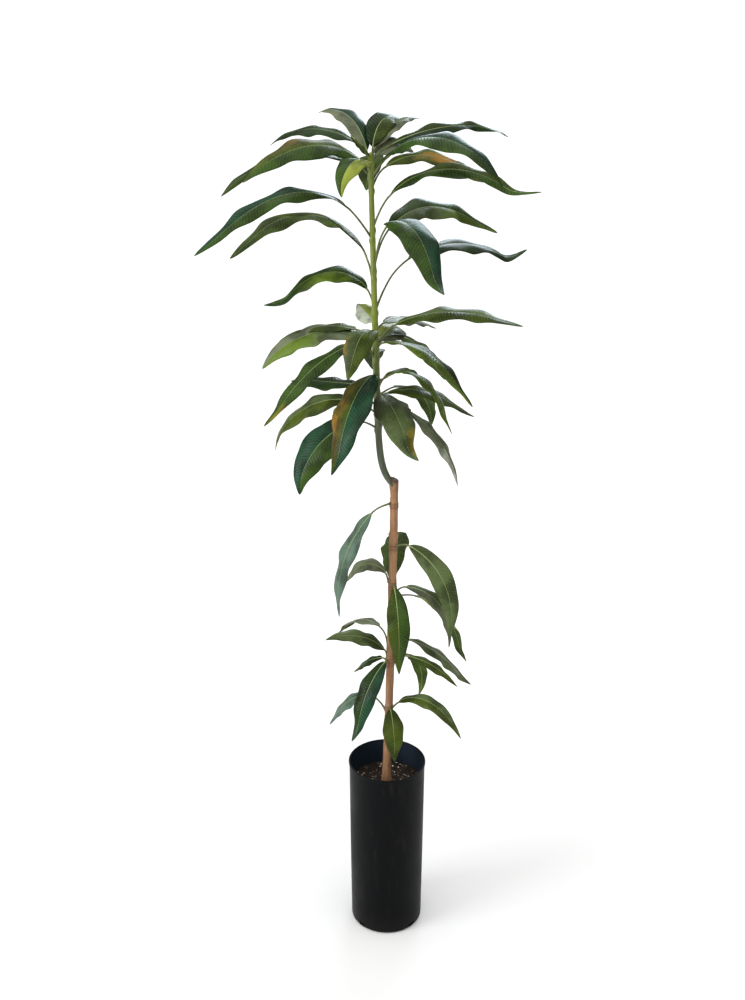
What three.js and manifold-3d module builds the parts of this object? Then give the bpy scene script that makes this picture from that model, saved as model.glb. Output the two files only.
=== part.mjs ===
// A grafted mango sapling in a tall nursery pot, in millimetres, +Z up.
// The origin is the centre of the pot's flat underside. Headings are in degrees
// from +X towards +Y, and rises are in degrees above the level.

import * as THREE from "three";
import { mergeVertices } from "three/addons/utils/BufferGeometryUtils.js";
import Module from "manifold-3d";

// ---- Driving dimensions -------------------------------------------------------

const CLEAR = 0.3; // running gap between neighbouring solids

const POT = { height: 348, rim: 72, foot: 67, wall: 2, floor: 3, corner: 7, sides: 44 };
const LIP = { height: 5, proud: 1.2 };
const DRAIN = { count: 4, first: 45, width: 14, low: 4, high: 12 };
const SOIL = { top: 304, crown: 3, bump: 1.6, seat: 8, sides: 36 };

const TRUNK = { foot: SOIL.top - SOIL.seat, top: 913, x: -1.2, lean: 11.8, bow: 1.6 };
const TRUNK_GIRTH = { radius: 7.4, taper: 0.5, flare: 2.4, flareHeight: 26, sides: 14 };
const CUT = { slant: 24, low: 3.5, block: 60 }; // the saw cut on the trunk's top
const SHOOT = { foot: 897, top: 1452, x: -15, lean: -15.5, kick: 22, settle: 26 };
const SHOOT_GIRTH = { radius: 6.2, taper: 2.2, swell: 0.5, sides: 10 };
const RING = { skin: 1, proud: 1.4 };

const LEAF = {
  thickness: 0.01, // blade thickness, as a share of its length
  fold: 10, // how far each half hangs from the midrib, in degrees
  lightTurn: 7, // how far blades turn to the light in front, in degrees
  ripple: 0.014, // height of the margin's waves, as a share of the length
  waves: 3.2, // waves along the margin
  ease: 1.25, // over 1, a blade bends more near its base
  petioleSteps: 3,
  bladeSteps: 11,
};
const PETIOLE = { root: 2.6, neck: 1.5 }; // radii
const BLADE = { lean: 0.82, fullness: 0.72, drawn: 0.34, drawnFrom: 3.2 }; // its outline

// ---- Where each leaf grows ----------------------------------------------------
// at: height of its root, to: heading, blade: length, rise: petiole's rise at the
// stem, lift: blade's rise at its base, fall: rise at its tip, petiole: its length,
// width: full width. The rest is optional: roll: tilt of the blade about its midrib,
// twist: more of it towards the tip, flick: rise added over the last quarter, ease:
// as in LEAF.

const TOP_ROSETTE = {
  name: "foliage_top_rosette", stem: [1384, SHOOT.top],
  leaves: [
    { at: 1396, to: 10, blade: 186, rise: 69, lift: 33, fall: -53, petiole: 43, width: 35,
      roll: 22, sweep: -5, flick: 32 },
    { at: 1414, to: -40, blade: 250, rise: 51, lift: 48, fall: -76, petiole: 33, width: 56,
      roll: 17, sweep: 31, flick: 8, ease: 0.8 },
    { at: 1416, to: 160, blade: 272, rise: 45, lift: 20, fall: -44, petiole: 33, width: 62,
      roll: 7, sweep: -17, flick: 2 },
    { at: 1417, to: -114, blade: 126, rise: 74, lift: 34, fall: -99, petiole: 22, width: 42,
      roll: -3, sweep: -8, flick: -16, ease: 0.7 },
    { at: 1424, to: 92, blade: 156, rise: 55, lift: 18, fall: -55, petiole: 23, width: 47,
      roll: -14, sweep: 4, ease: 1.7 },
    { at: 1430, to: 212, blade: 214, rise: 36, lift: 38, fall: -42, petiole: 23, width: 51,
      roll: -24, sweep: -22, flick: 1 },
    { at: 1432, to: 27, blade: 247, rise: 50, lift: 21, fall: -24, petiole: 51, width: 23,
      roll: 36, sweep: 26, flick: 0, ease: 1.0 },
    { at: 1436, to: 124, blade: 159, rise: 56, lift: 69, fall: -11, petiole: 23, width: 36,
      roll: -8, sweep: 4, flick: -9, ease: 1.6 },
    { at: 1439, to: 158, blade: 161, rise: 59, lift: 32, fall: -30, petiole: 36, width: 39,
      roll: -8, sweep: -1, flick: -9 },
    { at: 1434, to: 35, blade: 86, rise: 57, lift: 47, fall: -47, petiole: 18, width: 38,
      roll: 30, sweep: 5, ease: 1.1 },
    { at: 1438, to: 62, blade: 126, rise: 68, lift: 81, fall: -29, petiole: 25, width: 42,
      roll: 16, ease: 1.5 },
    { at: 1436, to: 45, blade: 116, rise: 74, lift: 53, fall: -12, petiole: 25, width: 28,
      roll: 2, flick: -5, ease: 1.0 },
    { at: 1441, to: -150, blade: 48, rise: 73, lift: 56, fall: 39, petiole: 6, width: 19,
      roll: 5, sweep: -6, ease: 1.4 },
  ],
};

const UPPER_SHOOT = {
  name: "foliage_upper_shoot", stem: [1175, 1384],
  leaves: [
    { at: 1181, to: 107, blade: 105, rise: 19, lift: 8, fall: 0, petiole: 6, width: 37,
      roll: -32, sweep: -4, flick: -5 },
    { at: 1196, to: 166, blade: 198, rise: 81, lift: 55, fall: -53, petiole: 44, width: 48,
      roll: -18, sweep: 14, flick: 42, ease: 2.0 },
    { at: 1199, to: 26, blade: 236, rise: 67, lift: 26, fall: -44, petiole: 104, width: 50,
      roll: 6, sweep: 0, flick: 60, ease: 1.1 },
    { at: 1196, to: 159, blade: 315, rise: 87, lift: 72, fall: -50, petiole: 89, width: 75,
      roll: 25, sweep: -14, flick: 10, ease: 1.7 },
    { at: 1255, to: -60, blade: 213, rise: 80, lift: 35, fall: -66, petiole: 103, width: 61,
      roll: 8, sweep: -9, flick: 46, ease: 1.7 },
    { at: 1269, to: 47, blade: 242, rise: 71, lift: 33, fall: -43, petiole: 73, width: 49,
      roll: 27, sweep: -45, flick: 13 },
    { at: 1318, to: 200, blade: 278, rise: 56, lift: 42, fall: -40, petiole: 70, width: 42,
      roll: -12, sweep: 9, flick: 7, ease: 2.1 },
    { at: 1334, to: -22, blade: 264, rise: 69, lift: 48, fall: -43, petiole: 63, width: 28,
      roll: 32, flick: 48 },
  ],
};

const MIDDLE_TIER = {
  name: "foliage_middle_tier", stem: [1078, 1175],
  leaves: [
    { at: 1086, to: 146, blade: 148, rise: -28, lift: -6, fall: -6, petiole: 43, width: 42,
      roll: -13, sweep: -10, flick: -15 },
    { at: 1084, to: -36, blade: 180, rise: 16, lift: 44, fall: -84, petiole: 22, width: 29,
      roll: -18, sweep: -4, flick: 22, ease: 1.4 },
    { at: 1095, to: -117, blade: 206, rise: 11, lift: 0, fall: -75, petiole: 11, width: 65,
      roll: 4, sweep: 1, flick: 31, ease: 1.5 },
    { at: 1114, to: 217, blade: 214, rise: 67, lift: -1, fall: -55, petiole: 58, width: 38,
      roll: -6, sweep: -17, flick: 9, ease: 1.5 },
    { at: 1106, to: 94, blade: 152, rise: 41, lift: 17, fall: -54, petiole: 25, width: 40,
      roll: 2, sweep: -8, flick: 12, ease: 1.6 },
    { at: 1122, to: -37, blade: 209, rise: 84, lift: 19, fall: -58, petiole: 34, width: 43,
      roll: -8, sweep: -9, flick: 14 },
    { at: 1137, to: 53, blade: 195, rise: 42, lift: -8, fall: -56, petiole: 41, width: 37,
      roll: -4, sweep: -17, flick: 3, ease: 1.5 },
    { at: 1136, to: 152, blade: 207, rise: 39, lift: 18, fall: -48, petiole: 28, width: 58,
      roll: 0, twist: -52, sweep: 41, flick: -5 },
    { at: 1145, to: -26, blade: 229, rise: 55, lift: 30, fall: -15, petiole: 53, width: 44,
      roll: 20, sweep: -10, flick: 9 },
    { at: 1159, to: -113, blade: 128, rise: 47, lift: 34, fall: -68, petiole: 16, width: 47,
      roll: -2, sweep: -3, flick: 11, ease: 1.7 },
    { at: 1138, to: 61, blade: 100, rise: 22, lift: 27, fall: -51, petiole: 22, width: 43,
      roll: 30, sweep: 5, flick: -8, ease: 0.8 },
    { at: 1159, to: 143, blade: 179, rise: 10, lift: 4, fall: -28, petiole: 41, width: 47,
      roll: -9, sweep: 2, flick: -11, ease: 1.4 },
    { at: 1166, to: 51, blade: 142, rise: 37, lift: 4, fall: -30, petiole: 26, width: 41,
      roll: 9, flick: 1 },
  ],
};

const LOWER_TIER = {
  name: "foliage_lower_tier", stem: [984, 1078],
  leaves: [
    { at: 998, to: 200, blade: 164, rise: 38, lift: -10, fall: -76, petiole: 48, width: 63,
      roll: -33, sweep: 22, flick: -13 },
    { at: 1006, to: -20, blade: 159, rise: 57, lift: -24, fall: -77, petiole: 64, width: 32,
      roll: 4, sweep: 14, flick: -2 },
    { at: 1016, to: 67, blade: 147, rise: 37, lift: 9, fall: -69, petiole: 33, width: 41,
      sweep: 9 },
    { at: 1026, to: 168, blade: 177, rise: 29, lift: 6, fall: -58, petiole: 55, width: 49,
      roll: -32, sweep: 4, flick: -24, ease: 1.6 },
    { at: 1035, to: 131, blade: 140, rise: 33, lift: 7, fall: -77, petiole: 27, width: 42,
      roll: -6 },
    { at: 1052, to: -69, blade: 159, rise: 52, lift: 7, fall: -85, petiole: 19, width: 62,
      roll: 3, sweep: 22, flick: 60, ease: 1.0 },
    { at: 1052, to: -16, blade: 159, rise: 39, lift: 25, fall: -48, petiole: 21, width: 42,
      sweep: 23, flick: 16 },
    { at: 1056, to: 47, blade: 154, rise: 15, lift: -4, fall: -75, petiole: 46, width: 52,
      roll: -8, sweep: 15, flick: -17, ease: 1.1 },
    { at: 1062, to: 52, blade: 108, rise: 61, lift: 26, fall: -46, petiole: 28, width: 26,
      roll: -16, sweep: -11, flick: 13 },
  ],
};

const RINGS = [
  {
    name: "foliage_ring_5", at: 861, height: 18,
    leaves: [
      { at: 865, to: 202, blade: 204, rise: -9, lift: -44, fall: -93, petiole: 38, width: 37,
        roll: -17, sweep: -8, flick: -5 },
    ],
  },
  {
    name: "foliage_ring_4", at: 783, height: 20,
    leaves: [
      { at: 780, to: 88, blade: 187, rise: 28, lift: -23, fall: -81, petiole: 39, width: 55,
        roll: -26, sweep: 14, flick: 9, ease: 1.4 },
      { at: 786, to: -31, blade: 195, rise: 24, lift: -14, fall: -100, petiole: 26, width: 39,
        roll: 42, sweep: -8, flick: 0 },
    ],
  },
  {
    name: "foliage_ring_3", at: 702, height: 42,
    leaves: [
      { at: 686, to: 20, blade: 197, rise: -3, lift: -25, fall: -88, petiole: 40, width: 47,
        roll: -2, sweep: 20, flick: 27 },
      { at: 712, to: -80, blade: 160, rise: 7, lift: -34, fall: -102, petiole: 12, width: 40,
        roll: 8, sweep: 2, flick: 19, ease: 1.5 },
      { at: 697, to: -12, blade: 158, rise: 44, lift: 4, fall: -95, petiole: 20, width: 32,
        roll: 9, sweep: -4, flick: -2, ease: 1.4 },
      { at: 713, to: 174, blade: 93, rise: 79, lift: 62, fall: -81, petiole: 19, width: 28,
        roll: -25, sweep: 4, flick: 14 },
    ],
  },
  {
    name: "foliage_ring_2", at: 562, height: 42,
    leaves: [
      { at: 560, to: 230, blade: 159, rise: 19, lift: -21, fall: -84, petiole: 8, width: 40,
        roll: -7, sweep: -8, flick: 28, ease: 1.5 },
      { at: 548, to: 53, blade: 128, rise: 12, lift: -23, fall: -106, petiole: 44, width: 31,
        roll: -7, sweep: -10, flick: -14, ease: 1.1 },
      { at: 556, to: 159, blade: 72, rise: 41, lift: -9, fall: -58, petiole: 9, width: 26,
        roll: -9, sweep: -8, flick: 12, ease: 1.4 },
      { at: 558, to: -28, blade: 107, rise: 45, lift: 3, fall: -51, petiole: 34, width: 23,
        roll: 14, sweep: 4, flick: 9, ease: 0.9 },
      { at: 564, to: 200, blade: 126, rise: 87, lift: 54, fall: -1, petiole: 18, width: 32,
        roll: -33, sweep: 6, flick: -8, ease: 1.4 },
      { at: 567, to: 15, blade: 159, rise: 76, lift: -22, fall: -62, petiole: 44, width: 54,
        roll: -1, sweep: -15, flick: 17 },
      { at: 577, to: 138, blade: 130, rise: 86, lift: 18, fall: -59, petiole: 47, width: 37,
        roll: 6, sweep: -7, flick: 12, ease: 1.5 },
    ],
  },
  {
    name: "foliage_ring_1", at: 458, height: 20,
    leaves: [
      { at: 464, to: -79, blade: 99, rise: 9, lift: -27, fall: -90, petiole: 7, width: 38,
        ease: 1.5 },
      { at: 454, to: 155, blade: 114, rise: 53, lift: -17, fall: -72, petiole: 45, width: 35,
        roll: -25, sweep: 16, flick: 8 },
      { at: 462, to: -32, blade: 159, rise: 50, lift: 50, fall: -58, petiole: 18, width: 27,
        roll: 15, sweep: -3, flick: 3, ease: 1.4 },
    ],
  },
];

// ---- Small tools --------------------------------------------------------------

const wasm = await Module();
wasm.setup();

const rad = THREE.MathUtils.degToRad;
const lerp = THREE.MathUtils.lerp;
const clamp01 = (t) => THREE.MathUtils.clamp(t, 0, 1);
const smooth = (t) => THREE.MathUtils.smoothstep(t, 0, 1);

// A repeatable number from 0 to 1 for a seed.
function chance(seed) {
  const x = Math.sin(seed * 12.9898 + 4.137) * 43758.5453;
  return x - Math.floor(x);
}

function toSolid(geometry) {
  const bare = geometry.clone();
  bare.deleteAttribute("normal");
  bare.deleteAttribute("uv");
  const merged = mergeVertices(bare, 1e-3);
  return new wasm.Manifold(
    new wasm.Mesh({
      numProp: 3,
      vertProperties: new Float32Array(merged.attributes.position.array),
      triVerts: new Uint32Array(merged.index.array),
    }),
  );
}

function toGeometry(solid) {
  const { vertProperties, triVerts, numProp } = solid.getMesh();
  const count = vertProperties.length / numProp;
  const position = new Float32Array(count * 3);
  for (let i = 0; i < count; i++)
    position.set(vertProperties.subarray(i * numProp, i * numProp + 3), i * 3);
  return new THREE.BufferGeometry()
    .setAttribute("position", new THREE.BufferAttribute(position, 3))
    .setIndex(new THREE.BufferAttribute(new Uint32Array(triVerts), 1));
}

// A closed skin over rings of equally many points, each ring anticlockwise when it
// is looked at against the direction of travel.
function skin(rings) {
  const sides = rings[0].length;
  const position = rings.flat().flatMap((p) => [p.x, p.y, p.z]);
  const faces = [];
  for (let r = 0; r + 1 < rings.length; r++)
    for (let i = 0; i < sides; i++) {
      const [a, b] = [r * sides + i, r * sides + ((i + 1) % sides)];
      faces.push(a, b, b + sides, a, b + sides, a + sides);
    }
  const last = (rings.length - 1) * sides;
  for (let i = 1; i + 1 < sides; i++) {
    faces.push(0, i + 1, i);
    faces.push(last, last + i, last + i + 1);
  }
  return new THREE.BufferGeometry()
    .setAttribute("position", new THREE.Float32BufferAttribute(position, 3))
    .setIndex(faces);
}

// ---- Stems --------------------------------------------------------------------

// Centre of the trunk at a height: a lean, with a slight bow.
function trunkAt(z) {
  const u = (z - SOIL.top) / (TRUNK.top - SOIL.top);
  const bow = TRUNK.bow * Math.sin(Math.PI * clamp01(u));
  return new THREE.Vector3(TRUNK.x + TRUNK.lean * u + bow, 0.6 * bow, z);
}

function trunkRadius(z) {
  const u = clamp01((z - SOIL.top) / (TRUNK.top - SOIL.top));
  const flare = Math.exp(-Math.max(0, z - SOIL.top) / TRUNK_GIRTH.flareHeight);
  return TRUNK_GIRTH.radius - TRUNK_GIRTH.taper * u + TRUNK_GIRTH.flare * flare;
}

// Centre of the green shoot at a height: it kicks out from the trunk's side, then
// stands up beside it.
function shootAt(z) {
  const u = (z - SHOOT.foot) / (SHOOT.top - SHOOT.foot);
  const kick = SHOOT.kick * Math.exp(-(z - SHOOT.foot - 3) / SHOOT.settle);
  return new THREE.Vector3(SHOOT.x + SHOOT.lean * u + kick, 2 * Math.sin(5 * u), z);
}

function shootRadius(z) {
  const u = (z - SHOOT.foot) / (SHOOT.top - SHOOT.foot);
  const swell = SHOOT_GIRTH.swell * Math.exp(-(z - SHOOT.foot) / SHOOT.settle);
  return SHOOT_GIRTH.radius - SHOOT_GIRTH.taper * u + swell;
}

// A round stem from one height to another, its rings level.
function stem(centreAt, radiusAt, from, to, steps, sides, grow = 0) {
  const rings = [];
  for (let i = 0; i <= steps; i++) {
    const z = lerp(from, to, i / steps);
    const centre = centreAt(z);
    const ring = [];
    for (let k = 0; k < sides; k++) {
      const turn = (2 * Math.PI * k) / sides;
      const reach = radiusAt(z) + grow;
      ring.push(
        new THREE.Vector3(reach * Math.cos(turn), reach * Math.sin(turn), 0).add(centre),
      );
    }
    rings.push(ring);
  }
  return toSolid(skin(rings));
}

// ---- Leaves -------------------------------------------------------------------

// Half the blade's width at t along it, as a share of its full half width: a
// wedge at the base, widest short of the middle, and a drawn-out tip.
function outline(t) {
  const body = Math.pow(Math.sin(Math.PI * Math.pow(t, BLADE.lean)), BLADE.fullness);
  return body * (1 - BLADE.drawn * Math.pow(t, BLADE.drawnFrom));
}

// Every trait of a leaf, with the seeded ones filled in.
function traits(leaf, seed) {
  return {
    sweep: 24 * (chance(seed) - 0.5),
    roll: LEAF.lightTurn * Math.cos(rad(leaf.to)) + 14 * (chance(seed + 0.3) - 0.5),
    twist: 36 * (chance(seed + 0.6) - 0.5),
    flick: 14 * chance(seed + 0.8),
    ease: LEAF.ease,
    phase: 2 * Math.PI * chance(seed + 0.9),
    ...leaf,
  };
}

// Rise and heading of a leaf's midrib, at s from 0 to 1 on the petiole and from 1
// to 2 on the blade.
function bearing(leaf, s) {
  if (s < 1) return { rise: lerp(leaf.rise, leaf.lift, s * s), heading: leaf.to };
  const t = s - 1;
  const droop = Math.pow(1 - t, leaf.ease);
  const flick = leaf.flick * smooth((t - 0.74) / 0.2);
  return {
    rise: lerp(leaf.fall, leaf.lift, droop) + flick,
    heading: leaf.to + leaf.sweep * t * t,
  };
}

// The midrib's points, each with its forward, side and upward directions.
function midrib(leaf, root) {
  const steps = LEAF.petioleSteps + LEAF.bladeSteps;
  const stations = [];
  const place = root.clone();
  for (let i = 0; i <= steps; i++) {
    const onPetiole = i < LEAF.petioleSteps;
    const s = onPetiole
      ? i / LEAF.petioleSteps
      : 1 + (i - LEAF.petioleSteps) / LEAF.bladeSteps;
    const { rise, heading } = bearing(leaf, s);
    const forward = new THREE.Vector3(
      Math.cos(rad(rise)) * Math.cos(rad(heading)),
      Math.cos(rad(rise)) * Math.sin(rad(heading)),
      Math.sin(rad(rise)),
    );
    const level = new THREE.Vector3(-Math.sin(rad(heading)), Math.cos(rad(heading)), 0);
    const roll = s < 1 ? 0 : rad(leaf.roll + leaf.twist * (s - 1));
    const side = level.clone().applyAxisAngle(forward, roll);
    const up = forward.clone().cross(side);
    stations.push({ s, place: place.clone(), side, up });
    const half = (s < 1 ? 0.5 / LEAF.petioleSteps : 0.5 / LEAF.bladeSteps) + s;
    const step = s < 1 ? leaf.petiole / LEAF.petioleSteps : leaf.blade / LEAF.bladeSteps;
    const ahead = bearing(leaf, half);
    place.add(
      new THREE.Vector3(
        Math.cos(rad(ahead.rise)) * Math.cos(rad(ahead.heading)),
        Math.cos(rad(ahead.rise)) * Math.sin(rad(ahead.heading)),
        Math.sin(rad(ahead.rise)),
      ).multiplyScalar(step),
    );
  }
  return stations;
}

// Six points round the petiole, or round the folded blade.
function leafRing(leaf, station) {
  const { s, place, side, up } = station;
  const at = (across, height) =>
    place.clone().addScaledVector(side, across).addScaledVector(up, height);
  const thick = leaf.blade * LEAF.thickness;
  if (s < 1) {
    const r = lerp(PETIOLE.root, PETIOLE.neck, s);
    return [
      at(0.87 * r, 0.5 * r), at(0, r), at(-0.87 * r, 0.5 * r),
      at(-0.87 * r, -0.5 * r), at(0, -r), at(0.87 * r, -0.5 * r),
    ];
  }
  const t = s - 1;
  const half = Math.max(0.5 * leaf.width * outline(t), PETIOLE.neck * (1 - 0.6 * t));
  const fold = rad(-LEAF.fold) * smooth(t / 0.2);
  const ripple = leaf.blade * LEAF.ripple * outline(t);
  const wave = 2 * Math.PI * LEAF.waves * t + leaf.phase;
  const across = half * Math.cos(fold);
  const left = half * Math.sin(fold) + ripple * Math.sin(wave);
  const right = half * Math.sin(fold) + ripple * Math.sin(wave + 2.1);
  const skinHalf = (thick / 2) * (t < 0.9 ? 1 : lerp(1, 0.5, (t - 0.9) / 0.1));
  return [
    at(across, left + skinHalf), at(0, skinHalf), at(-across, right + skinHalf),
    at(-across, right - skinHalf), at(0, -skinHalf), at(across, left - skinHalf),
  ];
}

function leafSolid(leaf, root) {
  return toSolid(skin(midrib(leaf, root).map((station) => leafRing(leaf, station))));
}

// ---- Masses of foliage --------------------------------------------------------

let leafCount = 0;

// A leaf of a stem, its root on the stem's axis or, with a sunk depth, that far
// inside the stem's skin.
function grow(leaf, centreAt, sunkRadius) {
  leafCount += 1;
  const full = traits(leaf, leafCount);
  const root = centreAt(leaf.at).add(
    new THREE.Vector3(Math.cos(rad(leaf.to)), Math.sin(rad(leaf.to)), 0)
      .multiplyScalar(sunkRadius),
  );
  return leafSolid(full, root);
}

// A leaf that would touch a finished part of the sapling is left out.
const finished = [];

function isClear(leaf) {
  return finished.every((other) => leaf.intersect(other).isEmpty());
}

// A length of the shoot with its leaves.
function tier({ stem: [from, to], leaves }) {
  const axis = stem(shootAt, shootRadius, from + CLEAR, to, 5, SHOOT_GIRTH.sides);
  const grown = leaves.map((leaf) => grow(leaf, shootAt, 0)).filter(isClear);
  return wasm.Manifold.union([axis, ...grown]);
}

// A swollen ring of leaf scars round the trunk, with its leaves.
function ring({ at, height, leaves }, trunkGrown) {
  const bulge = (z) => {
    const u = clamp01(Math.abs(z - at) / (height / 2));
    return trunkRadius(at) + RING.skin + RING.proud * (1 - u * u);
  };
  const [from, to] = [at - height / 2, at + height / 2];
  const collar = stem(trunkAt, bulge, from, to, 4, TRUNK_GIRTH.sides);
  const sunk = trunkRadius(at);
  const grown = leaves.map((leaf) => grow(leaf, trunkAt, sunk).subtract(trunkGrown));
  return wasm.Manifold.union([collar, ...grown.filter(isClear)]).subtract(trunkGrown);
}

// ---- Pot and potting mix ------------------------------------------------------

function potRadius(z) {
  return lerp(POT.foot, POT.rim - LIP.proud, z / POT.height);
}

function pot() {
  const inner = (z) => potRadius(z) - POT.wall;
  const profile = [new THREE.Vector2(0, 0)];
  for (let i = 0; i <= 4; i++) {
    const turn = ((i / 4) * Math.PI) / 2;
    const x = potRadius(POT.corner) - POT.corner * (1 - Math.sin(turn));
    profile.push(new THREE.Vector2(x, POT.corner * (1 - Math.cos(turn))));
  }
  profile.push(
    new THREE.Vector2(potRadius(POT.height - LIP.height), POT.height - LIP.height),
    new THREE.Vector2(POT.rim, POT.height - 0.8 * LIP.height),
    new THREE.Vector2(POT.rim, POT.height - 1),
    new THREE.Vector2(POT.rim - 1, POT.height),
    new THREE.Vector2(inner(POT.height) + 1, POT.height),
    new THREE.Vector2(inner(POT.height), POT.height - 1),
    new THREE.Vector2(inner(POT.corner), POT.corner),
    new THREE.Vector2(inner(POT.corner) - POT.corner + POT.floor, POT.floor),
    new THREE.Vector2(0, POT.floor),
  );
  let solid = toSolid(new THREE.LatheGeometry(profile, POT.sides).rotateX(Math.PI / 2));
  for (let i = 0; i < DRAIN.count; i++) {
    const turn = rad(DRAIN.first + (360 / DRAIN.count) * i);
    const reach = 10 * POT.wall;
    const hole = new THREE.BoxGeometry(reach, DRAIN.width, DRAIN.high - DRAIN.low);
    hole.translate(POT.foot, 0, (DRAIN.high + DRAIN.low) / 2).rotateZ(turn);
    solid = solid.subtract(toSolid(hole));
  }
  return solid;
}

// The mix fills the pot to a lightly uneven surface, with a seat for the trunk.
function pottingMix(trunkGrown) {
  const inside = (z) => potRadius(z) - POT.wall - CLEAR;
  const low = POT.floor + CLEAR;
  const profile = [
    new THREE.Vector2(0, low),
    new THREE.Vector2(inside(POT.corner) - POT.corner + POT.floor, low),
    new THREE.Vector2(inside(POT.corner), POT.corner + CLEAR),
    new THREE.Vector2(inside(SOIL.top), SOIL.top - SOIL.crown),
  ];
  for (const share of [0.8, 0.55, 0.3, 0])
    profile.push(
      new THREE.Vector2(share * inside(SOIL.top), SOIL.top - SOIL.crown * share * share),
    );
  const body = new THREE.LatheGeometry(profile, SOIL.sides).rotateX(Math.PI / 2);
  const points = body.attributes.position;
  for (let i = 0; i < points.count; i++) {
    const [x, y, z] = [points.getX(i), points.getY(i), points.getZ(i)];
    const inward = 1 - Math.hypot(x, y) / inside(SOIL.top);
    if (z < SOIL.top - SOIL.crown - 1 || inward < 0.05) continue;
    points.setZ(i, z + SOIL.bump * Math.sin(0.21 * x + 1) * Math.cos(0.17 * y));
  }
  return toSolid(body).subtract(trunkGrown);
}

// ---- The sapling --------------------------------------------------------------

// The trunk ends in the slanting cut where its old leader was taken off.
function trunk(grown) {
  const [from, to] = [TRUNK.foot, TRUNK.top];
  const solid = stem(trunkAt, trunkRadius, from, to, 22, TRUNK_GIRTH.sides, grown);
  if (grown) return solid;
  const saw = new THREE.BoxGeometry(CUT.block, CUT.block, CUT.block);
  saw.translate(0, 0, CUT.block / 2).rotateY(rad(CUT.slant));
  saw.translate(trunkAt(to).x, 0, to - CUT.low);
  return solid.subtract(toSolid(saw));
}

function leadingShoot(trunkGrown) {
  const to = LOWER_TIER.stem[0];
  return stem(shootAt, shootRadius, SHOOT.foot, to, 8, SHOOT_GIRTH.sides)
    .subtract(trunkGrown);
}

const looks = {
  pot: new THREE.MeshStandardMaterial({ color: 0x121314, roughness: 0.55, metalness: 0 }),
  mix: new THREE.MeshStandardMaterial({ color: 0x2a1d14, roughness: 1, metalness: 0 }),
  bark: new THREE.MeshStandardMaterial({ color: 0x96664a, roughness: 0.8, metalness: 0 }),
  shoot: new THREE.MeshStandardMaterial({ color: 0x5d6f24, roughness: 0.5, metalness: 0 }),
  leaf: new THREE.MeshStandardMaterial({ color: 0x2e4a20, roughness: 0.4, metalness: 0 }),
};

const sapling = new THREE.Group();

function add(name, solid, look) {
  const piece = new THREE.Mesh(toGeometry(solid), looks[look]);
  piece.name = name;
  sapling.add(piece);
  finished.push(solid);
}

const trunkGrown = trunk(CLEAR);
add("pot", pot(), "pot");
add("potting_mix", pottingMix(trunkGrown), "mix");
add("trunk", trunk(0), "bark");
add("leading_shoot", leadingShoot(trunkGrown), "shoot");
for (const mass of [TOP_ROSETTE, UPPER_SHOOT, MIDDLE_TIER, LOWER_TIER])
  add(mass.name, tier(mass), "leaf");
for (const mass of RINGS) add(mass.name, ring(mass, trunkGrown), "leaf");

export default sapling;
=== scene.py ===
"""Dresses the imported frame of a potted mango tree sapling: bark, leaves, pot, mix and studio."""

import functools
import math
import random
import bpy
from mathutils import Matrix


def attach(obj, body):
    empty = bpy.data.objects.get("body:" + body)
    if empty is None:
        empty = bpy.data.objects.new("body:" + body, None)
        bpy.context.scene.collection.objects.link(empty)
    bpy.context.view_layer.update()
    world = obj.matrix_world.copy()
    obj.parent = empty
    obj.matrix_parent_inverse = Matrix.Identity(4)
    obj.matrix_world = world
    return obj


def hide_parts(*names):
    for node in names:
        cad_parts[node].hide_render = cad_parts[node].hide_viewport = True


bl_info = {
    "name": "Mango tree sapling",
    "version": (1, 0, 0),
    "blender": (4, 5, 0),
    "location": "View3D > Sidebar > Sapling",
    "description": "Dresses a mango tree sapling with bark, leaves, a pot and potting mix",
    "category": "Add Mesh",
}

import bmesh
import bpy
from mathutils import Matrix, Vector, noise

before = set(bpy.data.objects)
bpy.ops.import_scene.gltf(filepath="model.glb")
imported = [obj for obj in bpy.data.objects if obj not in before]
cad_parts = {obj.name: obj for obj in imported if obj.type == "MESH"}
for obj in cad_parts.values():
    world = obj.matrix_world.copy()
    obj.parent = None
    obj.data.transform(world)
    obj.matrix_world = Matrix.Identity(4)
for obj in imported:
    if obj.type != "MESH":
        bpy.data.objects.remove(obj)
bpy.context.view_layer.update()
MM = 0.001

# ---- The sapling's rule, in millimetres and degrees, as in its source ----------

CLEAR = 0.3
POT = {"height": 348, "rim": 72, "foot": 67, "wall": 2, "floor": 3, "corner": 7}
LIP = {"height": 5, "proud": 1.2}
DRAIN = {"count": 4, "first": 45, "width": 14, "low": 4, "high": 12}
SOIL = {"top": 304, "crown": 3, "bump": 1.6}
TRUNK = {"foot": 296, "top": 913, "x": -1.2, "lean": 11.8, "bow": 1.6}
TRUNK_GIRTH = {"radius": 7.4, "taper": 0.5, "flare": 2.4, "flare_height": 26}
CUT = {"slant": 24, "low": 3.5}
SHOOT = {"foot": 897, "top": 1452, "x": -15, "lean": -15.5, "kick": 22, "settle": 26}
SHOOT_GIRTH = {"radius": 6.2, "taper": 2.2, "swell": 0.5}
# The trunk's nodes that bear leaves: the height of each, and how tall its scar is.
RINGS = {
    "ring_5": (861, 18), "ring_4": (783, 20), "ring_3": (702, 42), "ring_2": (562, 42),
    "ring_1": (458, 20),
}
RING_PROUD = 1.4
LEAF = {"fold": 10, "ripple": 0.014, "waves": 3.2, "ease": 1.25}
STATIONS = {"petiole": 3, "blade": 11}
# How far the seeded traits spread, and how far a leaf rolls towards the light.
SPREAD = {"sweep": 24, "roll": 14, "twist": 36, "flick": 14, "light": 7}
NECK = 1.5
BLADE = {"lean": 0.82, "fullness": 0.72, "drawn": 0.34, "drawn_from": 3.2}

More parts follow.
